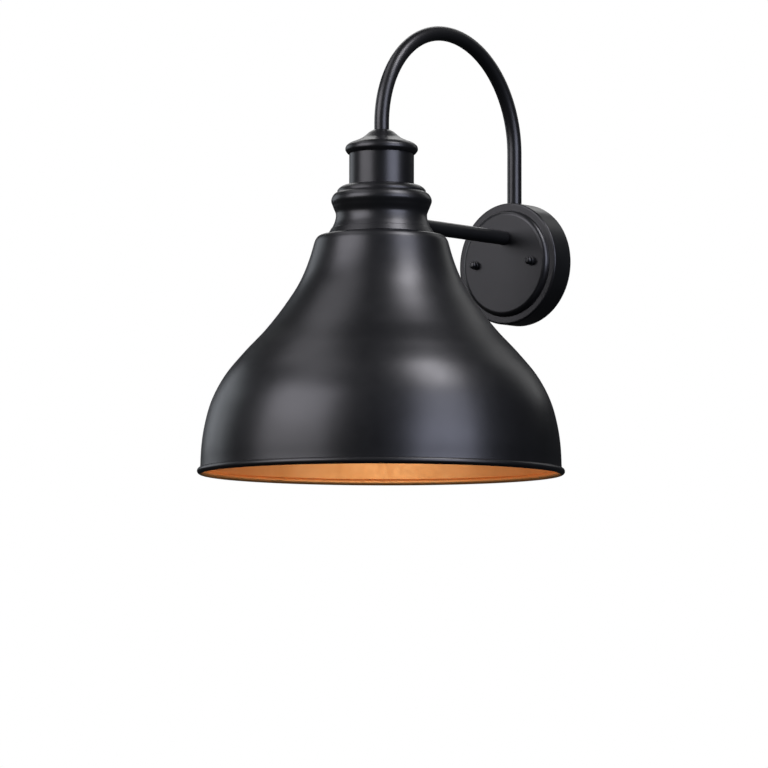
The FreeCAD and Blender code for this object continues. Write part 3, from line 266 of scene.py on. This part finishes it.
class Surface:
    """A node material built step by step around one Principled shader."""

    def __init__(self, name, **fixed):
        self.material = bpy.data.materials.new(name)
        self.material.use_nodes = True
        self.tree = self.material.node_tree
        self.tree.nodes.clear()
        self.shader = self.tree.nodes.new("ShaderNodeBsdfPrincipled")
        output = self.tree.nodes.new("ShaderNodeOutputMaterial")
        self.link(self.shader.outputs["BSDF"], output.inputs["Surface"])
        self.coords = self.tree.nodes.new("ShaderNodeTexCoord").outputs["Object"]
        self.bump_normal = None
        for socket, value in fixed.items():
            self.shader.inputs[socket.replace("_", " ")].default_value = value

    def link(self, source, target):
        self.tree.links.new(source, target)

    def noise(self, size, detail=2.0, stretch=(1, 1, 1)):
        """Noise whose lumps are about that size in metres."""
        coords = self.coords
        if stretch != (1, 1, 1):
            mapping = self.tree.nodes.new("ShaderNodeMapping")
            mapping.inputs["Scale"].default_value = stretch
            self.link(coords, mapping.inputs["Vector"])
            coords = mapping.outputs["Vector"]
        node = self.tree.nodes.new("ShaderNodeTexNoise")
        node.inputs["Scale"].default_value = 1 / size
        node.inputs["Detail"].default_value = detail
        self.link(coords, node.inputs["Vector"])
        return node.outputs["Fac"]

    def spread(self, source, low, high, start=0.3, end=0.7):
        """Maps a 0 to 1 pattern onto a range."""
        node = self.tree.nodes.new("ShaderNodeMapRange")
        node.inputs["From Min"].default_value = start
        node.inputs["From Max"].default_value = end
        node.inputs["To Min"].default_value = low
        node.inputs["To Max"].default_value = high
        self.link(source, node.inputs["Value"])
        return node.outputs["Result"]

    def blend(self, factor, first, second):
        """Colour between two colours or colour outputs."""
        node = self.tree.nodes.new("ShaderNodeMix")
        node.data_type = "RGBA"
        self.link(factor, node.inputs["Factor"])
        for socket, value in ((node.inputs[6], first), (node.inputs[7], second)):
            if isinstance(value, tuple):
                socket.default_value = value
            else:
                self.link(value, socket)
        return node.outputs[2]

    def colour(self, output):
        self.link(output, self.shader.inputs["Base Color"])

    def rough(self, output):
        self.link(output, self.shader.inputs["Roughness"])

    def bump(self, height, depth):
        """Adds relief of that depth in metres on top of what is there."""
        node = self.tree.nodes.new("ShaderNodeBump")
        node.inputs["Strength"].default_value = 1.0
        node.inputs["Distance"].default_value = depth
        self.link(height, node.inputs["Height"])
        if self.bump_normal is not None:
            self.link(self.bump_normal, node.inputs["Normal"])
        self.bump_normal = node.outputs["Normal"]
        self.link(self.bump_normal, self.shader.inputs["Normal"])


def grey(value, warmth=0.0):
    """A grey, or one a little warmer or cooler."""
    return (value * (1 + warmth), value, value * (1 - warmth), 1)


def paint_surface(name, dark, light, roughness):
    """Satin coat on spun metal: faint mottling, fine grain, soft rings, slightly uneven gloss."""
    s = Surface(name, Metallic=0.0, Specular_IOR_Level=0.5)
    cloud = s.noise(35 * MM, 3)
    s.colour(s.blend(s.spread(cloud, 0, 1), dark, light))
    s.rough(s.spread(s.noise(14 * MM, 3), roughness - 0.01, roughness + 0.015))
    s.bump(s.noise(1.1 * MM, 1), 0.0022 * MM)
    s.bump(s.noise(24 * MM, 2, (1, 1, 16)), 0.006 * MM)
    return s.material


def copper_surface(name, dark, light, roughness):
    """Metallic copper coat: faint mottling and a fine grain."""
    s = Surface(name, Metallic=1.0)
    s.colour(s.blend(s.spread(s.noise(30 * MM, 3), 0, 1), dark, light))
    s.rough(s.spread(s.noise(5 * MM, 4), roughness - 0.03, roughness + 0.04))
    s.bump(s.noise(0.9 * MM, 1), 0.008 * MM)
    return s.material


def metal_surface(name, dark, light, roughness):
    """Bare or plated metal with a faint mottle and an uneven polish."""
    s = Surface(name, Metallic=1.0)
    s.colour(s.blend(s.spread(s.noise(4 * MM, 4), 0, 1), dark, light))
    s.rough(s.spread(s.noise(1.5 * MM, 3), roughness - 0.06, roughness + 0.08))
    s.bump(s.noise(0.5 * MM, 2), 0.006 * MM)
    return s.material


def plastic_surface(name, dark, light, roughness, depth=0.01):
    """Moulded or extruded plastic and rubber."""
    s = Surface(name, Metallic=0.0)
    s.colour(s.blend(s.spread(s.noise(5 * MM, 3), 0, 1), dark, light))
    s.rough(s.spread(s.noise(2 * MM, 2), roughness - 0.05, roughness + 0.05))
    s.bump(s.noise(0.5 * MM, 2), depth * MM)
    return s.material


def glass_surface(name, tint):
    """Clear glass with a trace of tint and of unevenness."""
    s = Surface(name, Transmission_Weight=1.0, IOR=1.5, Metallic=0.0)
    s.colour(s.blend(s.spread(s.noise(30 * MM, 2), 0, 1), tint, (1, 1, 1, 1)))
    s.rough(s.spread(s.noise(12 * MM, 2), 0.0, 0.02))
    return s.material


MATERIALS = {
    "charcoal_paint": paint_surface("charcoal_paint", grey(0.0045, -0.05),
                                    grey(0.0065, -0.05), 0.34),
    "copper_paint": copper_surface("copper_paint", (0.84, 0.44, 0.165, 1),
                                   (0.93, 0.52, 0.215, 1), 0.58),
    "foam": plastic_surface("foam", grey(0.012), grey(0.03), 0.9, 0.12),
    "rubber": plastic_surface("rubber", grey(0.012), grey(0.022), 0.75, 0.03),
    "zinc_steel": metal_surface("zinc_steel", grey(0.50, 0.02), grey(0.64, 0.03), 0.34),
    "green_screw": metal_surface("green_screw", (0.03, 0.22, 0.07, 1), (0.05, 0.32, 0.11, 1), 0.34),
    "brass": metal_surface("brass", (0.62, 0.40, 0.14, 1), (0.78, 0.55, 0.24, 1), 0.28),
    "nickel_plate": metal_surface("nickel_plate", grey(0.58, 0.03), grey(0.70, 0.04), 0.22),
    "porcelain": plastic_surface("porcelain", (0.74, 0.72, 0.67, 1),
                                 (0.82, 0.80, 0.76, 1), 0.16, 0.02),
    "black_insulation": plastic_surface("black_insulation", grey(0.010), grey(0.018), 0.5),
    "white_insulation": plastic_surface("white_insulation", grey(0.66), grey(0.74), 0.5),
    "green_insulation": plastic_surface("green_insulation", (0.01, 0.14, 0.04, 1),
                                        (0.02, 0.20, 0.06, 1), 0.5),
    "wire_nut_plastic": plastic_surface("wire_nut_plastic", (0.62, 0.18, 0.02, 1),
                                        (0.72, 0.24, 0.03, 1), 0.5),
    "clear_glass": glass_surface("clear_glass", (0.97, 0.99, 0.98, 1)),
    "black_glass": plastic_surface("black_glass", grey(0.008), grey(0.014), 0.12),
    "solder": metal_surface("solder", grey(0.48), grey(0.62), 0.4),
    "support_wire": metal_surface("support_wire", grey(0.36, 0.02), grey(0.46, 0.02), 0.35),
    "tungsten": metal_surface("tungsten", grey(0.14, 0.03), grey(0.22, 0.03), 0.5),
}
MATERIALS["charcoal_casting"] = MATERIALS["charcoal_paint"]


def dress(obj, slot):
    """Gives an object one material, in all its slots."""
    obj.data.materials.clear()
    obj.data.materials.append(MATERIALS[slot])


def place_piece(obj, body, slot, *nodes):
    """Puts a new piece on its body, in its finish, in place of CAD nodes."""
    dress(obj, slot)
    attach(obj, body)
    if nodes:
        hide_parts(*nodes)
    return obj


# ---- Shade -------------------------------------------------------------------------------------

SHEET = 1.0 * MM
BEAD_R = 3.2 * MM
FLAT_R = COLLAR_R + 6.5 * MM
SHOULDER = 6.2 * MM
SHOULDER_DROP = 6.7 * MM
SKIRT_START_DEG = 16
NECK_BORE_R = CUP_R + 6 * MM
SHADE_HOLE_R = NECK_BORE_R - 1 * MM
SCREW_CIRCLE_R = NECK_BORE_R + 4.5 * MM
SCREW_R = 2.0 * MM
SCREW_GAP = 0.3 * MM
SCREW_REACH = 5 * MM
SCREW_DEGREES = (-90, 30, 150)
BEAD_START_DEG = 86
BEAD_STEPS = 28
SEAM_TOP = BEAD_R * 0.6
# Share of the drop, share of the growth, from the shoulder's foot to the bead
SKIRT_SHAPE = ((0.0673, 0.039), (0.1742, 0.1257), (0.2815, 0.2611), (0.3878, 0.4253),
               (0.4947, 0.6248), (0.601, 0.7965), (0.7074, 0.9065), (0.8138, 0.9655))


def sheet_outside():
    """Outside of the sheet from the hole's edge down to the bead, and the bead's centre."""
    wall_r = SHADE_R - BEAD_R
    bead = (wall_r, RIM_Z + BEAD_R)
    shoulder_r = FLAT_R + SHOULDER
    foot_z = SHADE_TOP_Z - SHOULDER_DROP
    end_z = bead[1] + BEAD_R
    slope = math.radians(SKIRT_START_DEG)
    start = (math.sin(slope), -math.cos(slope))
    top = [(SHADE_HOLE_R, SHADE_TOP_Z)]
    top += smooth_points([(FLAT_R, SHADE_TOP_Z), (shoulder_r, foot_z)], 16, (1, 0), start)
    skirt = [(shoulder_r, foot_z)]
    skirt += [(shoulder_r + (wall_r - shoulder_r) * g, foot_z - (foot_z - end_z) * d)
              for d, g in SKIRT_SHAPE]
    skirt.append((wall_r, end_z))
    return top + smooth_points(skirt, 10, start, (0, -1))[1:], bead


def shade_screw_rods(radius, low_z, high_z):
    """One upright rod at each shade screw."""
    rods = []
    for a in map(math.radians, SCREW_DEGREES):
        rods.append((radius, lamp_place(SCREW_CIRCLE_R, low_z, a),
                     lamp_place(SCREW_CIRCLE_R, high_z, a)))
    return rods


def build_shade():
    """Painted sheet in two skins that meet at mid-thickness, so each side has its own finish."""
    outside, bead = sheet_outside()
    middle = beside(outside, SHEET / 2)
    inside = beside(outside, SHEET)
    middle[0] = (SHADE_HOLE_R, SHADE_TOP_Z - SHEET / 2)
    inside[0] = (SHADE_HOLE_R, SHADE_TOP_Z - SHEET)
    seam_r = bead[0] - SHEET / 2
    seam = [(seam_r, bead[1] + SEAM_TOP), (seam_r, bead[1])]
    crease = math.degrees(math.asin(SHEET / BEAD_R))
    outer_bead = arc_points(bead, BEAD_R, BEAD_START_DEG, -90, BEAD_STEPS)
    inner_bead = arc_points(bead, BEAD_R, -90, crease - 270, BEAD_STEPS)
    shell = mesh_object("shade_shell", turned(
        outside[:-1] + outer_bead + seam[::-1] + middle[-2::-1], lamp_place, steps=320))
    lining = mesh_object("shade_lining", turned(
        inside[:-1] + inner_bead[::-1] + seam[::-1] + middle[-2::-1], lamp_place, steps=320))
    for skin, slot in ((shell, "charcoal_paint"), (lining, "copper_paint")):
        drill(skin, *shade_screw_rods(SCREW_R + SCREW_GAP, SHADE_TOP_Z - SCREW_REACH,
                                      SHADE_TOP_Z + SCREW_REACH))
        place_piece(skin, "fixture", slot, "shade")


# ---- Collar, cup and cap -----------------------------------------------------------------------

# Collar's outside: millimetres beyond the cup, share of the collar's height
COLLAR_TOP_EDGE = ((8.9, 0.950), (11.3, 0.895))
COLLAR_SHAPE = ((11.7, 0.857), (14.8, 0.805), (17.1, 0.689), (15.3, 0.564), (12.6, 0.403),
                (14.0, 0.242), (16.4, 0.130))
SLIP_GAP = 0.15 * MM
COLLAR_LIP = 1.4 * MM
COLLAR_LEDGE = 4 * MM
COLLAR_LEDGE_T = 6 * MM
CAST_EDGE = 0.4 * MM           # rounding of the collar's plain corners
FOOT_STEP = 0.7 * MM           # small step above the foot
SHADE_SCREW_DEPTH = 9 * MM
NIPPLE_HOLE_R = 5.2 * MM
NIPPLE_FIT_R = 4.95 * MM
CAP_SHEET = 1.2 * MM
CUP_SHEET = 1.5 * MM
CUT_EDGE = 0.3 * MM            # softened edge of cut sheet
CUP_CORNER = 2.4 * MM
CAP_LAND = 0.9 * MM            # flat around the arm's end
CAP_LIP_EDGE = 0.5 * MM
# Cap's outside between arm and lip: share of its radius, share of its fall
CAP_SHAPE = ((0.3285, 0.082), (0.4294, 0.207), (0.536, 0.332), (0.712, 0.457), (0.905, 0.582),
             (0.9885, 0.707), (1.0, 0.832))


def build_collar():
    """Cast collar: soft-edged lip, bulge, waist and foot outside; recess, ledge and bore inside."""
    low, high = COLLAR_LOW.z, COLLAR_HIGH.z

    def point(beyond, share):
        return (CUP_R + beyond * MM, low + (high - low) * share)

    lip = (CUP_R + SLIP_GAP + COLLAR_LIP, high)
    side = point(*COLLAR_TOP_EDGE[1])
    curve = smooth_points([point(*place) for place in COLLAR_SHAPE], 12)
    foot = curve[-1]
    outline = [(CUP_R + SLIP_GAP, high, 0.3 * MM)]
    outline += arc_through(lip, point(*COLLAR_TOP_EDGE[0]), side, 18)[:-1]
    outline += [side + (CAST_EDGE,), (side[0], curve[0][1] + 0.2 * MM)]
    outline += curve
    outline += [(foot[0] + FOOT_STEP, foot[1] - FOOT_STEP / 2, 0.25 * MM),
                (COLLAR_R, low, 0.5 * MM),
                (NECK_BORE_R, low, CAST_EDGE), (NECK_BORE_R, CUP_LOW.z - COLLAR_LEDGE_T),
                (CUP_R - COLLAR_LEDGE, CUP_LOW.z - COLLAR_LEDGE_T, CAST_EDGE),
                (CUP_R - COLLAR_LEDGE, CUP_LOW.z, CAST_EDGE), (CUP_R + SLIP_GAP, CUP_LOW.z)]
    collar = mesh_object("neck_collar_cast", turned(rounded(outline), lamp_place, steps=224))
    holes = shade_screw_rods(SCREW_R, low - 1 * MM, low + SHADE_SCREW_DEPTH)
    holes.append((NIPPLE_HOLE_R, (0, LAMP_Y, STRUT_Z), (0, LAMP_Y + COLLAR_R * 2, STRUT_Z)))
    drill(collar, *holes)
    place_piece(collar, "fixture", "charcoal_casting", "neck_collar")


def build_cup():
    """Plain drawn cup, open below, with a hole in its top for the long nipple."""
    low, high = CUP_LOW.z, CUP_HIGH.z
    inner_r = CUP_R - CUP_SHEET
    outline = [(inner_r, low, CUT_EDGE), (CUP_R, low, CUT_EDGE), (CUP_R, high, CUP_CORNER),
               (NIPPLE_FIT_R, high), (NIPPLE_FIT_R, high - CUP_SHEET),
               (inner_r, high - CUP_SHEET, 1.65 * MM)]
    cup = mesh_object("socket_cup_drawn", turned(rounded(outline), lamp_place, steps=192))
    place_piece(cup, "fixture", "charcoal_paint", "socket_cup")


def build_cap():
    """Spun ogee cap with its lip rounded over."""
    top, low = CAP_HIGH.z, CAP_LOW.z
    full_r = min(CAP_HIGH.x, -CAP_LOW.x)
    points = [(TUBE_R + CAP_LAND, top)]
    points += [(full_r * r, top - (top - low) * f) for r, f in CAP_SHAPE]
    points.append((CUP_R + SLIP_GAP + CAP_SHEET, low))
    outside = smooth_points(points, 12)
    inside = beside(outside, CAP_SHEET)
    outline = [(NIPPLE_FIT_R, top)] + outside[:-1] + [outside[-1] + (CAP_LIP_EDGE,)]
    outline += [inside[-1] + (CAP_LIP_EDGE,)] + inside[-2::-1]
    outline.append((NIPPLE_FIT_R, top - CAP_SHEET))
    cap = mesh_object("top_cap_spun", turned(rounded(outline), lamp_place, steps=192))
    place_piece(cap, "fixture", "charcoal_paint", "top_cap")


# ---- Canopy ------------------------------------------------------------------------------------

CANOPY_SHEET = 1.2 * MM
CANOPY_RISE = 5.0 * MM
CANOPY_RING = 7.8 * MM
CANOPY_SHOULDER = 5.0 * MM
CANOPY_EDGE = 1.8 * MM
CANOPY_FACE_EDGE = 1.5 * MM
CAP_NUT_R = 4.3 * MM
STUD_X = (CAP_NUTS_HIGH.x - CAP_NUTS_LOW.x) / 2 - CAP_NUT_R
STUD_R = 2.05 * MM
STUD_IN_NUT = 5 * MM
ARM_WALL_Y = ARM_HIGH.y - TUBE_R


def canopy_half(inset):
    """Canopy's outside from its edge at the wall to its centre, moved inwards by the inset."""
    rim_r = CANOPY_R - inset
    step = CANOPY_DEPTH - CANOPY_RISE - inset
    face = CANOPY_DEPTH - inset
    shoulder_r = CANOPY_R - CANOPY_RING - inset
    face_r = CANOPY_R - CANOPY_RING - CANOPY_SHOULDER - inset * 0.5
    rise, run = face - step, shoulder_r - face_r
    crown = arc_through((shoulder_r, step + rise * 0.15),
                        (face_r + run * 0.72, step + rise * 0.72), (face_r, face), 14)
    return [(rim_r, CANOPY_BACK, 0.4 * MM), (rim_r, step, CANOPY_EDGE - inset / 2),
            (shoulder_r, step, 0.35 * MM)] + crown[:-1] + [crown[-1] + (CANOPY_FACE_EDGE,),
                                                           (0, face)]


def build_canopy():
    """Drawn wall plate with its holes for studs, strut and arm."""
    outline = canopy_half(0) + canopy_half(CANOPY_SHEET)[::-1]
    canopy = mesh_object("canopy_drawn", turned(rounded(outline), wall_place, steps=256))
    front = -CANOPY_DEPTH * 2
    holes = [(STUD_R + SCREW_GAP, (x, 0, 0), (x, front, 0)) for x in (-STUD_X, STUD_X)]
    holes.append((NIPPLE_HOLE_R, (0, -CANOPY_DEPTH * 0.8, STRUT_Z), (0, front, STRUT_Z)))
    holes.append((NIPPLE_HOLE_R, (0, ARM_WALL_Y, CANOPY_R / 2), (0, ARM_WALL_Y, CANOPY_R * 2)))
    drill(canopy, *holes)
    place_piece(canopy, "fixture", "charcoal_paint", "canopy")


def build_cap_nuts():
    """Turned nuts: wide foot, groove, round nose."""
    radius = min(CAP_NUTS_HIGH.z, -CAP_NUTS_LOW.z)
    face = CANOPY_DEPTH
    length = -CAP_NUTS_LOW.y - face
    foot, groove = face + length * 0.42, face + length * 0.55
    groove_r, nose_r = radius * 0.7, radius * 0.84
    end, bore_end = face + length, face + STUD_IN_NUT
    outline = [(STUD_R, face), (radius, face), (radius, foot, 0.5 * MM), (groove_r, foot),
               (groove_r, groove), (nose_r, groove, 0.25 * MM), (nose_r, end, 2.3 * MM),
               (0, end), (0, bore_end), (STUD_R, bore_end)]
    shells = [turned(rounded(outline, 8), lambda r, d, a, x=x: wall_place(r, d, a, x), steps=64)
              for x in (-STUD_X, STUD_X)]
    nuts = mesh_object("cap_nuts_turned", *shells)
    place_piece(nuts, "fixture", "charcoal_paint", "cap_nuts")


# ---- Bulb and wiring details -------------------------------------------------------------------

THREAD_PITCH = 3.63 * MM
THREAD_H = 0.5 * MM
THREAD_TURNS = 4
THREAD_ROWS = 72
BASE_SHEET = 0.4 * MM
BASE_TOP_R = 11 * MM
BASE_COLLAR = 2 * MM           # plain band above the thread
BASE_NECK = 5.3 * MM           # height of the narrow lower end, inside
COIL_WIRE_R = 0.1 * MM
COIL_TURNS = 72
COIL_STEPS = 14                # points in each turn


def build_bulb_base():
    """Thin screw shell with a rolled thread that runs round it."""
    top, low = BASE_HIGH.z, BASE_LOW.z
    crest_r = min(BASE_HIGH.x, -BASE_LOW.x)
    root_r = crest_r - THREAD_H
    thread_top = top - BASE_COLLAR
    thread_low = thread_top - THREAD_PITCH * THREAD_TURNS
    neck_r = root_r - BASE_SHEET / 2 + 0.05 * MM
    outline = [(BASE_TOP_R - BASE_SHEET, top), (BASE_TOP_R, top)]
    outline += [(root_r, thread_top + (thread_low - thread_top) * i / THREAD_ROWS)
                for i in range(THREAD_ROWS + 1)]
    outline += [(neck_r + BASE_SHEET, thread_low - 0.3 * MM), (neck_r + BASE_SHEET, low),
                (neck_r, low), (neck_r, low + BASE_NECK), (root_r - BASE_SHEET, low + BASE_NECK),
                (root_r - BASE_SHEET, thread_top)]

    def threaded(radius, height, angle):
        if abs(radius - root_r) < 1e-9 and thread_low < height < thread_top:
            turn = (height - thread_low) / THREAD_PITCH + angle / math.tau
            ends = min(1, (height - thread_low) / THREAD_PITCH * 2,
                       (thread_top - height) / THREAD_PITCH * 2)
            radius += THREAD_H * ends * (0.5 - 0.5 * math.cos(math.tau * turn))
        return lamp_place(radius, height, angle)

    base = mesh_object("bulb_base_threaded", turned(outline, threaded, steps=120))
    place_piece(base, "bulb", "nickel_plate", "bulb_base")


def build_filament():
    """Fine coil in a shallow arch between the supports."""
    middle = (FILAMENT_LOW + FILAMENT_HIGH) / 2
    bar_r = (FILAMENT_HIGH.y - FILAMENT_LOW.y) / 2
    reach = (FILAMENT_HIGH.x - FILAMENT_LOW.x) / 2 - bar_r * 0.6
    top, low = FILAMENT_HIGH.z - bar_r, FILAMENT_LOW.z + bar_r
    sag = top - low
    radius = (reach ** 2 + sag ** 2) / (2 * sag)
    half = math.asin(reach / radius)
    points = COIL_TURNS * COIL_STEPS
    path = []
    for i in range(points + 1):
        a = -half + 2 * half * i / points
        out = Vector((math.sin(a), 0, -math.cos(a)))
        centre = Vector((middle.x, middle.y, low + radius)) + out * radius
        spin = math.tau * i / COIL_STEPS
        path.append(centre + (out * math.cos(spin) + Vector((0, 1, 0)) * math.sin(spin))
                    * (bar_r - COIL_WIRE_R))
    coil = mesh_object("bulb_filament_coil", swept(path, COIL_WIRE_R, sides=6))
    place_piece(coil, "bulb", "tungsten", "bulb_filament")


WIRE_NUT_LENGTH = 22 * MM
FLUTES = 14
FLUTE_DEPTH = 0.35 * MM
WIRE_NUT_ROW = 1.2 * MM        # length of one row of faces


def build_wire_nuts():
    """Twist-on connectors: plain skirt, tapering fluted body, rounded tip."""
    radius = (WIRE_NUTS_HIGH.z - WIRE_NUTS_LOW.z) / 2
    axis_y = (WIRE_NUTS_HIGH.y + WIRE_NUTS_LOW.y) / 2
    axis_z = (WIRE_NUTS_HIGH.z + WIRE_NUTS_LOW.z) / 2
    length = WIRE_NUT_LENGTH
    mouth_x = WIRE_NUTS_HIGH.x - length
    skirt = length * 0.35
    outline = rounded([(0, 0), (radius, 0, 0.5 * MM), (radius, skirt, 0.5 * MM),
                       (radius * 0.92, skirt + 0.3 * MM), (radius * 0.6, length, 1.5 * MM),
                       (0, length)], 5)
    dense = []
    for here, after in zip(outline, outline[1:]):
        count = max(1, int(math.dist(here, after) / WIRE_NUT_ROW))
        dense += [(here[0] + (after[0] - here[0]) * k / count,
                   here[1] + (after[1] - here[1]) * k / count) for k in range(count)]
    dense.append(outline[-1])
    shells = []
    for side in (-1, 1):
        def fluted(r, along, a, side=side):
            if along > skirt + 1 * MM and r > radius * 0.3:
                r -= FLUTE_DEPTH * (0.5 + 0.5 * math.cos(FLUTES * a))
            return (side * (mouth_x + along), axis_y + r * math.cos(a), axis_z + r * math.sin(a))
        shells.append(turned(dense, fluted, steps=140))
    nuts = mesh_object("wire_nuts_moulded", *shells)
    place_piece(nuts, "fixture", "wire_nut_plastic", "wire_nuts")


build_shade()
build_collar()
build_cup()
build_cap()
build_canopy()
build_cap_nuts()
build_bulb_base()
build_filament()
build_wire_nuts()

# ---- CAD nodes that stay -----------------------------------------------------------------------

for part in frame["record"]["subparts"]:
    dress(NODES[part["node"]], part["material_slot"])

# ---- Studio ------------------------------------------------------------------------------------

FLOOR_Z = RIM_Z - 1.0
FLOOR_R = 6.0
FLOOR_SIDES = 96
CAMERA_AZIMUTH = 38.2          # degrees, round from straight in front
CAMERA_PLACE = (2.7021, -3.4341, -0.4746)
CAMERA_TURN = (94.669, -0.115, 39.99)
CAMERA_LENS = 207.38
LIGHT_DISTANCE = 2.4
# Name, azimuth and elevation in degrees, width and height in metres, watts, colour.
# Azimuth 0 is behind the camera, 90 to its right.
SOFT_BOXES = (
    ("left_low", -56, 8, 2.1, 0.75, 15, (0.95, 0.93, 1)),
    ("left_middle", -56, 30, 1.9, 1.1, 32, (0.93, 0.91, 1)),
    ("left_high", -85, 60, 2.0, 0.9, 9, (0.95, 0.93, 1)),
    ("right_low", 42, 8, 1.7, 0.75, 24, (0.76, 0.79, 1)),
    ("right_middle", 46, 29, 1.4, 1.0, 19, (0.80, 0.82, 1)),
    ("right_high", 55, 56, 0.85, 1.0, 33, (0.95, 0.93, 1)),
    ("back_left", -130, 13, 1.4, 1.1, 6, (0.88, 0.93, 1)),
    ("back_right", 140, 28, 0.8, 1.2, 2.2, (1, 1, 1)),
    ("back_fill", 183, 38, 1.6, 1.0, 9, (1, 1, 1)),
)


def build_floor():
    """Pale round floor well below the object, which neither lights it nor shows in it."""
    ring = arc_points((0, 0), FLOOR_R, 0, 360, FLOOR_SIDES)[:-1]
    verts = [(0, 0, FLOOR_Z)] + [(x, y, FLOOR_Z) for x, y in ring]
    faces = [(0, 1 + i, 1 + (i + 1) % FLOOR_SIDES) for i in range(FLOOR_SIDES)]
    floor = mesh_object("floor", (verts, faces))
    s = Surface("floor_paint", Metallic=0.0)
    s.colour(s.blend(s.spread(s.noise(0.4, 3), 0, 1), grey(0.78), grey(0.82)))
    s.rough(s.spread(s.noise(0.2, 2), 0.6, 0.7))
    floor.data.materials.append(s.material)
    floor.visible_glossy = False
    floor.visible_diffuse = False


def add_light(name, kind, power, place):
    """A light that can't be seen itself."""
    data = bpy.data.lights.new(name, kind)
    data.energy = power
    light = bpy.data.objects.new(name, data)
    bpy.context.scene.collection.objects.link(light)
    light.location = place
    light.visible_camera = False
    return light


def soft_box(name, azimuth, elevation, width, height, power, colour):
    """Rectangular light aimed at the shade."""
    a, e = math.radians(CAMERA_AZIMUTH + azimuth), math.radians(elevation)
    target = Vector((0, LAMP_Y, RIM_Z / 4))
    way = Vector((math.sin(a) * math.cos(e), -math.cos(a) * math.cos(e), math.sin(e)))
    light = add_light(name, "AREA", power, target + way * LIGHT_DISTANCE)
    light.data.shape = "RECTANGLE"
    light.data.size = width
    light.data.size_y = height
    light.data.color = colour
    light.rotation_euler = (-way).to_track_quat("-Z", "Y").to_euler()


def floor_light():
    """Even light on the floor alone, well below the object, so it stays pale from any side."""
    light = add_light("floor_light", "AREA", 300, (0, 0, FLOOR_Z + 0.4))
    light.data.shape = "DISK"
    light.data.size = FLOOR_R * 2
    light.visible_glossy = False
    light.visible_transmission = False


def bulb_glow():
    """Small round light under the bulb, as if it were on, for the shade's inside."""
    light = add_light("bulb_glow", "POINT", 0.34, (0, LAMP_Y, RIM_Z + 32 * MM))
    light.data.shadow_soft_size = 18 * MM
    light.data.color = (1, 0.98, 0.95)


def build_world():
    """White behind the object, and almost no light of its own."""
    world = bpy.data.worlds.new("studio")
    bpy.context.scene.world = world
    world.use_nodes = True
    nodes, links = world.node_tree.nodes, world.node_tree.links
    nodes.clear()
    room = nodes.new("ShaderNodeBackground")
    room.inputs["Color"].default_value = (0.9, 0.95, 1.0, 1)
    room.inputs["Strength"].default_value = 0.02
    backdrop = nodes.new("ShaderNodeBackground")
    backdrop.inputs["Color"].default_value = (1, 1, 1, 1)
    backdrop.inputs["Strength"].default_value = 1.0
    rays = nodes.new("ShaderNodeLightPath")
    mix = nodes.new("ShaderNodeMixShader")
    output = nodes.new("ShaderNodeOutputWorld")
    links.new(rays.outputs["Is Camera Ray"], mix.inputs["Fac"])
    links.new(room.outputs["Background"], mix.inputs[1])
    links.new(backdrop.outputs["Background"], mix.inputs[2])
    links.new(mix.outputs["Shader"], output.inputs["Surface"])


def build_camera():
    """Long lens, a little below the shade's rim, right of the lamp's front."""
    data = bpy.data.cameras.new("camera")
    data.lens = CAMERA_LENS
    data.sensor_width = 36
    data.clip_end = 100
    camera = bpy.data.objects.new("camera", data)
    bpy.context.scene.collection.objects.link(camera)
    camera.location = CAMERA_PLACE
    camera.rotation_euler = [math.radians(turn) for turn in CAMERA_TURN]
    bpy.context.scene.camera = camera


build_floor()
build_world()
build_camera()
for box in SOFT_BOXES:
    soft_box(*box)
floor_light()
bulb_glow()
bpy.context.scene.view_settings.view_transform = "Standard"
